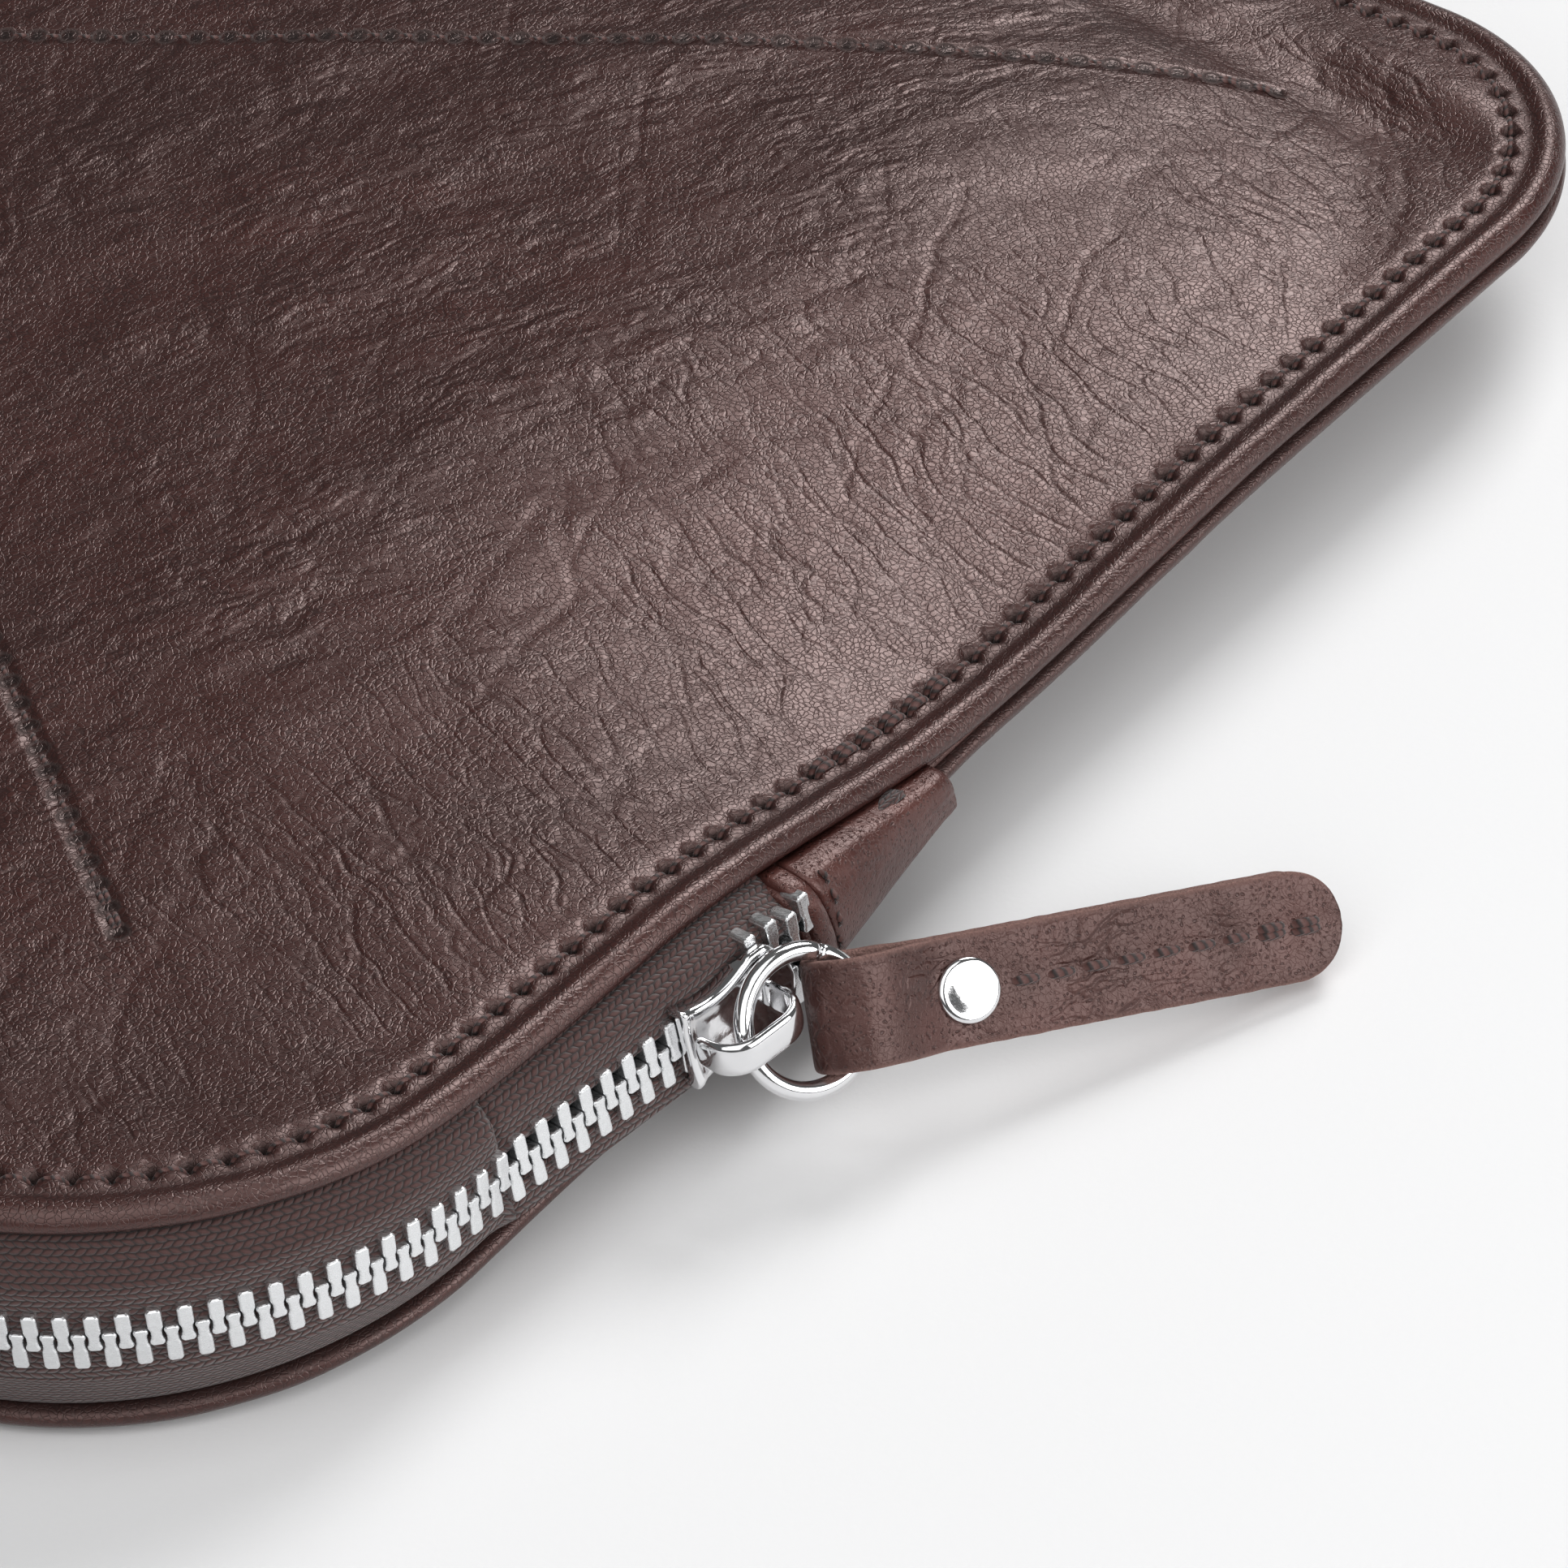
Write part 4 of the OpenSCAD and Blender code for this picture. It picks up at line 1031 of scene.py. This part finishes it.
# The slider's own x runs along the chain towards the tab, its y up and its z out of the pouch
SLIDER_PITCH = math.degrees(math.atan(RUN_RISE))
SLIDER_TURN = (turn("Z", -RUN_HEADING) @ turn("Y", -SLIDER_LEAN) @ turn("X", SLIDER_PITCH)
               @ turn("Z", 90) @ turn("X", 90))
SLIDER_AT = [HALF_L + chain_off(SLIDER_Y), SLIDER_Y, run_line(SLIDER_Y)]
PLATE_T, PLATE_W, CHANNEL, TAPE_SLOT, WALL_T = 0.95, 4.8, 1.35, 0.5, 0.75
PLATE_TOP, TAIL_X, TOOTH_CLEAR, POST_X, POST_R = CHANNEL + PLATE_T, -6.5, 3.3, 4.2, 1.5


def polished(name, node, body, points, faces):
    piece = make(name, points, faces, POLISHED, body, [node])
    weld(piece, 1e-6)
    return piece


def on_slider(points):
    return points @ SLIDER_TURN.T + SLIDER_AT


def strip_caps(n, last):
    """The two ends of a lofted piece whose section runs there and back."""
    pairs = range(n // 2 - 1)
    first_end = [(n - 1 - j, n - 2 - j, j + 1, j) for j in pairs]
    return first_end + [(last + j, last + j + 1, last + n - 2 - j, last + n - 1 - j) for j in pairs]


# The plate's outline: a round nose, and at each side a waist scooped out by a wide arc
NOSE_X, NOSE_R, SCOOP_X, SCOOP_Y, SCOOP_R = 0.5, 6.0, -2.6, 12.95, 9.4


def plate_half(x):
    """Half the plate's width: flared tail, scooped waist, broad shoulders and a round nose."""
    nose = math.sqrt(max(0.0, NOSE_R**2 - (x - NOSE_X) ** 2)) if x > NOSE_X else PLATE_W
    reach = SCOOP_R**2 - (x - SCOOP_X) ** 2
    scoop = SCOOP_Y - math.sqrt(reach) if reach > 0 else PLATE_W
    return max(0.05, min(PLATE_W, nose, scoop))


PLATE_RISE = [(0.0, -0.12), (0.3, -0.14), (0.5, -0.1), (0.68, 0.02), (0.8, 0.12), (0.88, 0.13), (0.95, 0.02)]


def plate_ring(x, side):
    """Section of one plate: dished between raised rims, with flanges down to the tape at its sides."""
    w = plate_half(x)
    flange = 1 - ease((x - 0.4) / 1.6)
    foot = CHANNEL + (TAPE_SLOT - CHANNEL) * flange
    tail = 0.22 * bell(x - TAIL_X - 0.5, 0.45)
    root = bell(x - 3.2, 2.2)
    wall = min(WALL_T, w * 0.5, max(0.3, w - TOOTH_CLEAR))
    outer = [(w * u, PLATE_TOP + tail + h * (1 - root * (u < 0.7)) * min(1, w / 2)) for u, h in PLATE_RISE]
    outer += [(w - 0.05 * min(1, w), PLATE_TOP - 0.14 + tail * 0.7), (w, PLATE_TOP - 0.34), (w, foot + 0.1),
              (w - 0.1, foot)]
    inner = [((w - wall) * k / 7, CHANNEL) for k in range(8)]
    inner += [(w - wall, (CHANNEL + foot) / 2), (w - wall, foot + 0.05), (w - wall + 0.05, foot)]
    over = [(-y, z) for y, z in outer[:0:-1]] + outer
    under = inner[::-1] + [(-y, z) for y, z in inner[1:]]
    return np.array([(x, y, side * z) for y, z in over + under])


def slider_body():
    rounded = {TAIL_X: 0.14, TAIL_X + 0.05: 0.05}
    stations = list(rounded) + [TAIL_X + 0.14] + list(np.linspace(TAIL_X + 0.3, 5.2, 44))
    stations += [5.5, 5.75, 5.95, 6.1, 6.22, 6.32, 6.4, 6.45, 6.48, 6.5]
    parts = []
    for side in (1, -1):
        rings = []
        for x in stations:
            ring, less = plate_ring(x, side), rounded.get(x, 0.0)
            ring[:, 1] *= 1 - less / 4
            ring[:, 2] -= side * less * (np.abs(ring[:, 2]) > CHANNEL + 0.5)
            rings.append(ring)
        count, n = len(rings), len(rings[0])
        parts.append((np.concatenate(rings), bridge_rings(count, n) + strip_caps(n, (count - 1) * n)))
    post = POST_R * circle(32) + [POST_X, 0]
    parts.append(loft([np.column_stack([post, np.full(32, z)]) for z in (-CHANNEL - 0.2, CHANNEL + 0.2)]))
    points, faces = join(parts)
    piece = polished("slider_plates", "slider_body", "slider", on_slider(points), faces)
    piece.data.set_sharp_from_angle(angle=math.radians(48))


# Half of the band's section: share of its half width, and height above its middle
BAND_HALF = [(0.0, 0.56), (0.45, 0.53), (0.75, 0.44), (0.93, 0.26), (1, 0.02), (0.97, -0.26), (0.86, -0.42),
             (0.4, -0.5)]
BAND_SECTION = BAND_HALF + [(0.0, -0.5)] + [(-u, h) for u, h in BAND_HALF[:0:-1]]


def slider_bridge():
    """A polished band over the ring: rooted near the nose, arched, and free at its rounded tail."""
    tail, root, r, crown = -5.8, 3.4, 2.9, 7.5
    path = [(root, PLATE_TOP - 0.25), (root, PLATE_TOP + 0.6), (root, crown - r)]
    quarter = np.linspace(0, math.pi / 2, 12)
    path += [(root - r + r * math.cos(a), crown - r + r * math.sin(a)) for a in quarter[1:]]
    path += [(x, crown) for x in np.linspace(root - r, tail + r, 7)[1:-1]]
    path += [(tail + r - r * math.sin(a), crown - r + r * math.cos(a)) for a in quarter]
    path += [(tail, z) for z in (3.9, 3.3, 3.0, 2.82, 2.74)]
    path = np.array(path)
    rings = []
    for i, ((x, z), (step_x, step_z)) in enumerate(zip(path, tangents(path))):
        from_tail = len(path) - 1 - i
        narrow = {0: 0.55, 1: 0.8, 2: 0.93}.get(from_tail, 1.0)
        thin = {0: 0.45, 1: 0.8}.get(from_tail, 1.0)
        w = 1.6 * narrow * (1 + 0.10 * bell(from_tail - 7, 6.0))
        rings.append([(x + step_z * h * thin, w * u, z - step_x * h * thin) for u, h in BAND_SECTION])
    points, faces = loft(rings)
    subdivide(polished("bridge_band", "slider_bridge", "slider", on_slider(points), faces))


slider_body()
slider_bridge()

RING_AT, RING_TIP, RING_HEADING = np.array([175.35, -37.9, 13.45]), 57.5, -12.3
RING_R, WIRE_R, BUTT_ANGLE = 6.2, 0.9, 142.0
HOLD_ANGLE, HINGE_IN, PULLER_BEND = 73.0, 4.7, 8.2
RING_TURN = turn("Z", RING_HEADING) @ turn("Y", RING_TIP)
PULLER_TURN = RING_TURN @ turn("Z", HOLD_ANGLE) @ turn("Y", -PULLER_BEND)
PULLER_AT = RING_AT + RING_TURN @ turn("Z", HOLD_ANGLE) @ np.array([HINGE_IN, 0, 0])


def on_puller(points):
    return points @ PULLER_TURN.T + PULLER_AT


def wire_ring():
    """The ring, its wire's two rounded ends meeting in a butt joint."""
    steps, gap = 120, 0.013
    angles = math.radians(BUTT_ANGLE) + np.linspace(gap, TAU - gap, steps)
    thick = WIRE_R * np.array([0.82, 0.95] + [1.0] * (steps - 4) + [0.95, 0.82])
    rings = []
    for a, r in zip(angles, thick):
        out, up = r * circle(24).T
        rings.append(np.column_stack([(RING_R + out) * math.cos(a), (RING_R + out) * math.sin(a), up]))
    points, faces = loft(rings)
    polished("wire_ring", "pull_ring", "ring", points @ RING_TURN.T + RING_AT, faces)


wire_ring()

PULLER_W, PULLER_L, PULLER_T, LOOP_R, JOIN_X, RIVET_X = 10.0, 52.0, 1.5, 2.8, 7.4, 10.7
TIP_X = PULLER_L - LOOP_R - PULLER_T


def puller_path():
    """Centre line of the folded strip, in its length and thickness: back tip, round the wire, front tip."""
    half, r = PULLER_T / 2 + 0.04, LOOP_R + PULLER_T / 2
    reach, turn_x = JOIN_X + 2, 0.3
    shares = np.linspace(0, 1, 12)[1:]
    back = [(x, -half - 0.10 * ease((x - 20) / 25)) for x in np.linspace(TIP_X - 0.4, reach, 64)]
    down = [(reach - (reach - turn_x) * t, -half - (r - half) * ease(t)) for t in shares]
    loop = [(turn_x - r * math.sin(a), -r * math.cos(a)) for a in np.linspace(0, math.pi, 18)[1:]]
    up = [(turn_x + (reach - turn_x) * t, r - (r - half) * ease(t)) for t in shares]
    front = [(x, half) for x in np.linspace(reach, TIP_X, 66)[1:]]
    return np.array(back + down + loop + up + front)


# Across the strip: over the front face, down its cut edge, along the flesh side and back
STRAP_FACE = [(-0.97, 0.43), (-0.9, 0.5), (-0.75, 0.5), (-0.5, 0.5), (-0.25, 0.5), (0, 0.5), (0.25, 0.5),
              (0.5, 0.5), (0.75, 0.5), (0.9, 0.5), (0.97, 0.43)]
STRAP_SECTION = [(-1, 0.30)] + STRAP_FACE + [
    (1, 0.30), (1.0, 0.1), (1.0, -0.15), (0.99, -0.4), (0.93, -0.5), (0.5, -0.5), (0, -0.5), (-0.5, -0.5),
    (-0.93, -0.5), (-0.99, -0.4), (-1.0, -0.15), (-1.0, 0.1)]


def strap_sag(x, y, length):
    """Height of the front face over its plane: sunk along the stitches and round the rivet, then creased."""
    seam = -0.16 * bell(y, 0.8) * (1 if x - RIVET_X > 3.5 else 0)
    pressed = -0.22 * math.exp(-(((x - RIVET_X) ** 2 + y**2) / 16.0))
    return seam + pressed + 0.10 * fbm(length / 1.9, y / 5.0, 3, 2) * ease((x - 22) / 12)


def puller_strap():
    path = puller_path()
    length = steps_along(path)
    total, round_r = length[-1], PULLER_W / 2
    to_end = np.minimum(length, total - length)
    half_w = round_r * np.sqrt(np.clip(1 - np.clip(1 - to_end / round_r, 0, 1) ** 2, 0.0, 1))
    half_w = np.maximum(half_w, 0.25)
    rings, raw = [], []
    for (x, z), (step_x, step_z), w, s in zip(path, tangents(path), half_w, length):
        ring = []
        crush = 1 - 0.12 * bell(x - RIVET_X, 3.0)
        for u, v in STRAP_SECTION:
            ragged = 0.10 * noise(s * 1.3, u * 2 + v, 7) if abs(u) > 0.95 else 0
            sag = strap_sag(x, u * w, s) if v > 0.4 and s > total / 2 else 0.0
            thick = (PULLER_T * v + sag) * crush
            ring.append((x - step_z * thick, u * w + math.copysign(ragged, u), z + step_x * thick))
            cut, flesh = abs(u) >= 0.99 and v < 0.35, v <= -0.4
            raw.append(1.0 if cut else 0.7 if flesh else 0.3 if abs(u) > 0.96 else 0)
        rings.append(ring)
    points, faces = loft(np.array(rings))
    piece = make("folded_puller", on_puller(points), faces, PULLER_LEATHER, "puller", ["puller_strap"],
                 floats={"raw": raw})
    weld(piece, 1e-6)
    subdivide(piece)


puller_strap()


def rivet(name, node, profile, flip):
    """A turned piece on the puller: profile is (radius, height), closed at both ends."""
    rings = [np.column_stack([r * circle(64) + [RIVET_X, 0], np.full(64, h * flip)]) for r, h in profile]
    points, faces = loft(rings)
    polished(name, node, "puller", on_puller(points), faces)


FACE = PULLER_T + 0.04
rivet("rivet_face", "rivet_cap", [(r, FACE + h) for r, h in (
    (0.2, -0.3), (2.6, -0.3), (2.9, -0.16), (3.0, 0.02), (2.99, 0.2), (2.9, 0.36), (2.72, 0.46), (2.5, 0.5),
    (2.35, 0.49), (2.2, 0.50), (1.7, 0.57), (1.1, 0.63), (0.5, 0.66), (0.2, 0.665))], 1)
rivet("rivet_back", "rivet_post", [(0.2, -FACE), (1.2, -FACE)] + [(r, FACE + h) for r, h in (
    (1.2, -0.5), (2.9, -0.1), (3.0, 0.1), (2.95, 0.35), (2.6, 0.52), (1.4, 0.6), (0.3, 0.62))], -1)


def puller_threads():
    count, pitch, first_x = 9, 3.45, 14.6
    parts = []
    for i in range(count):
        doubled = i >= count - 2
        x = first_x + (i + STITCH_SHARES) * pitch
        for strand in ((-0.32, 0.30) if doubled else (0.0,)):
            slant = (0.12 if doubled else 0) * (STITCH_SHARES - 0.5)
            y = strand + 0.08 * noise(i * 1.9, strand, 9) + slant
            for face_side in (1, -1):
                z = face_side * (PULLER_T + 0.02 + STITCH_ARCH * 0.9 + (0.14 if doubled else 0))
                parts.append(tube(on_puller(np.column_stack([x, y, z])), STITCH_THICK * 1.45, 8))
    threads("puller_threads", "puller_stitching", "puller", parts)


puller_threads()


# ---------------------------------------------------------------- floor, lights and camera

def floor_material():
    n = Nodes("pale_floor")
    speck = n.noise(n.object_mm(), 1.5, 2.0)
    color = n.mix(n.times(speck, 0.2), [0.82, 0.82, 0.825, 1], [0.79, 0.79, 0.795, 1])
    return n.finish(color, 0.75, n.times(speck, 0.02))


def floor():
    mesh = bpy.data.meshes.new("floor")
    r = 4.0  # metres
    mesh.from_pydata([(-r, -r, 0), (r, -r, 0), (r, r, 0), (-r, r, 0)], [], [(0, 1, 2, 3)])
    piece = bpy.data.objects.new("floor", mesh)
    piece.location.z = -0.0002
    mesh.materials.append(floor_material())
    bpy.context.collection.objects.link(piece)


floor()


AIM = np.array([0.13, -0.02, 0.01])


def area_light(name, place, size, power):
    """A white rectangle of light in metres and watts, turned to AIM with its long side level."""
    light = bpy.data.lights.new(name, "AREA")
    light.shape, light.energy = "RECTANGLE", power
    light.size, light.size_y = size
    z = np.array(place) - AIM
    z /= np.linalg.norm(z)
    x = np.cross([0, 0, 1.0], z)
    x /= np.linalg.norm(x)
    piece = bpy.data.objects.new(name, light)
    axes = np.column_stack([x, np.cross(z, x), z, place])
    piece.matrix_world = Matrix(np.vstack([axes, [0, 0, 0, 1]]).tolist())
    bpy.context.collection.objects.link(piece)


area_light("main_softbox", (-0.06, 1.03, 1.08), (0.60, 0.72), 12.6)
area_light("top_softbox", (0.40, -0.20, 1.60), (1.2, 1.2), 5.6)
area_light("side_softbox", (1.45, 0.30, 0.62), (1.2, 0.9), 13.5)
area_light("front_softbox", (0.60, -1.02, 1.12), (1.6, 1.5), 10.5)

world = bpy.data.worlds.new("studio")
world.use_nodes = True
background = world.node_tree.nodes["Background"].inputs
background["Color"].default_value = (1.0, 1.0, 1.0, 1)
background["Strength"].default_value = 0.11
bpy.context.scene.world = world
bpy.context.scene.view_settings.view_transform = "Standard"

camera_data = bpy.data.cameras.new("camera")
camera_data.lens, camera_data.sensor_width = 176.14, 36.0
camera_data.clip_start, camera_data.clip_end = 0.05, 20.0
camera = bpy.data.objects.new("camera", camera_data)
RIGHT, UP, BACK = (0.7723, 0.6312, -0.0712), (-0.3735, 0.5419, 0.7528), (0.5138, -0.5549, 0.6543)
EYE = (0.5127, -0.4021, 0.4706)
camera.matrix_world = Matrix(list(zip(RIGHT, UP, BACK, EYE)) + [(0, 0, 0, 1)])
bpy.context.collection.objects.link(camera)
bpy.context.scene.camera = camera
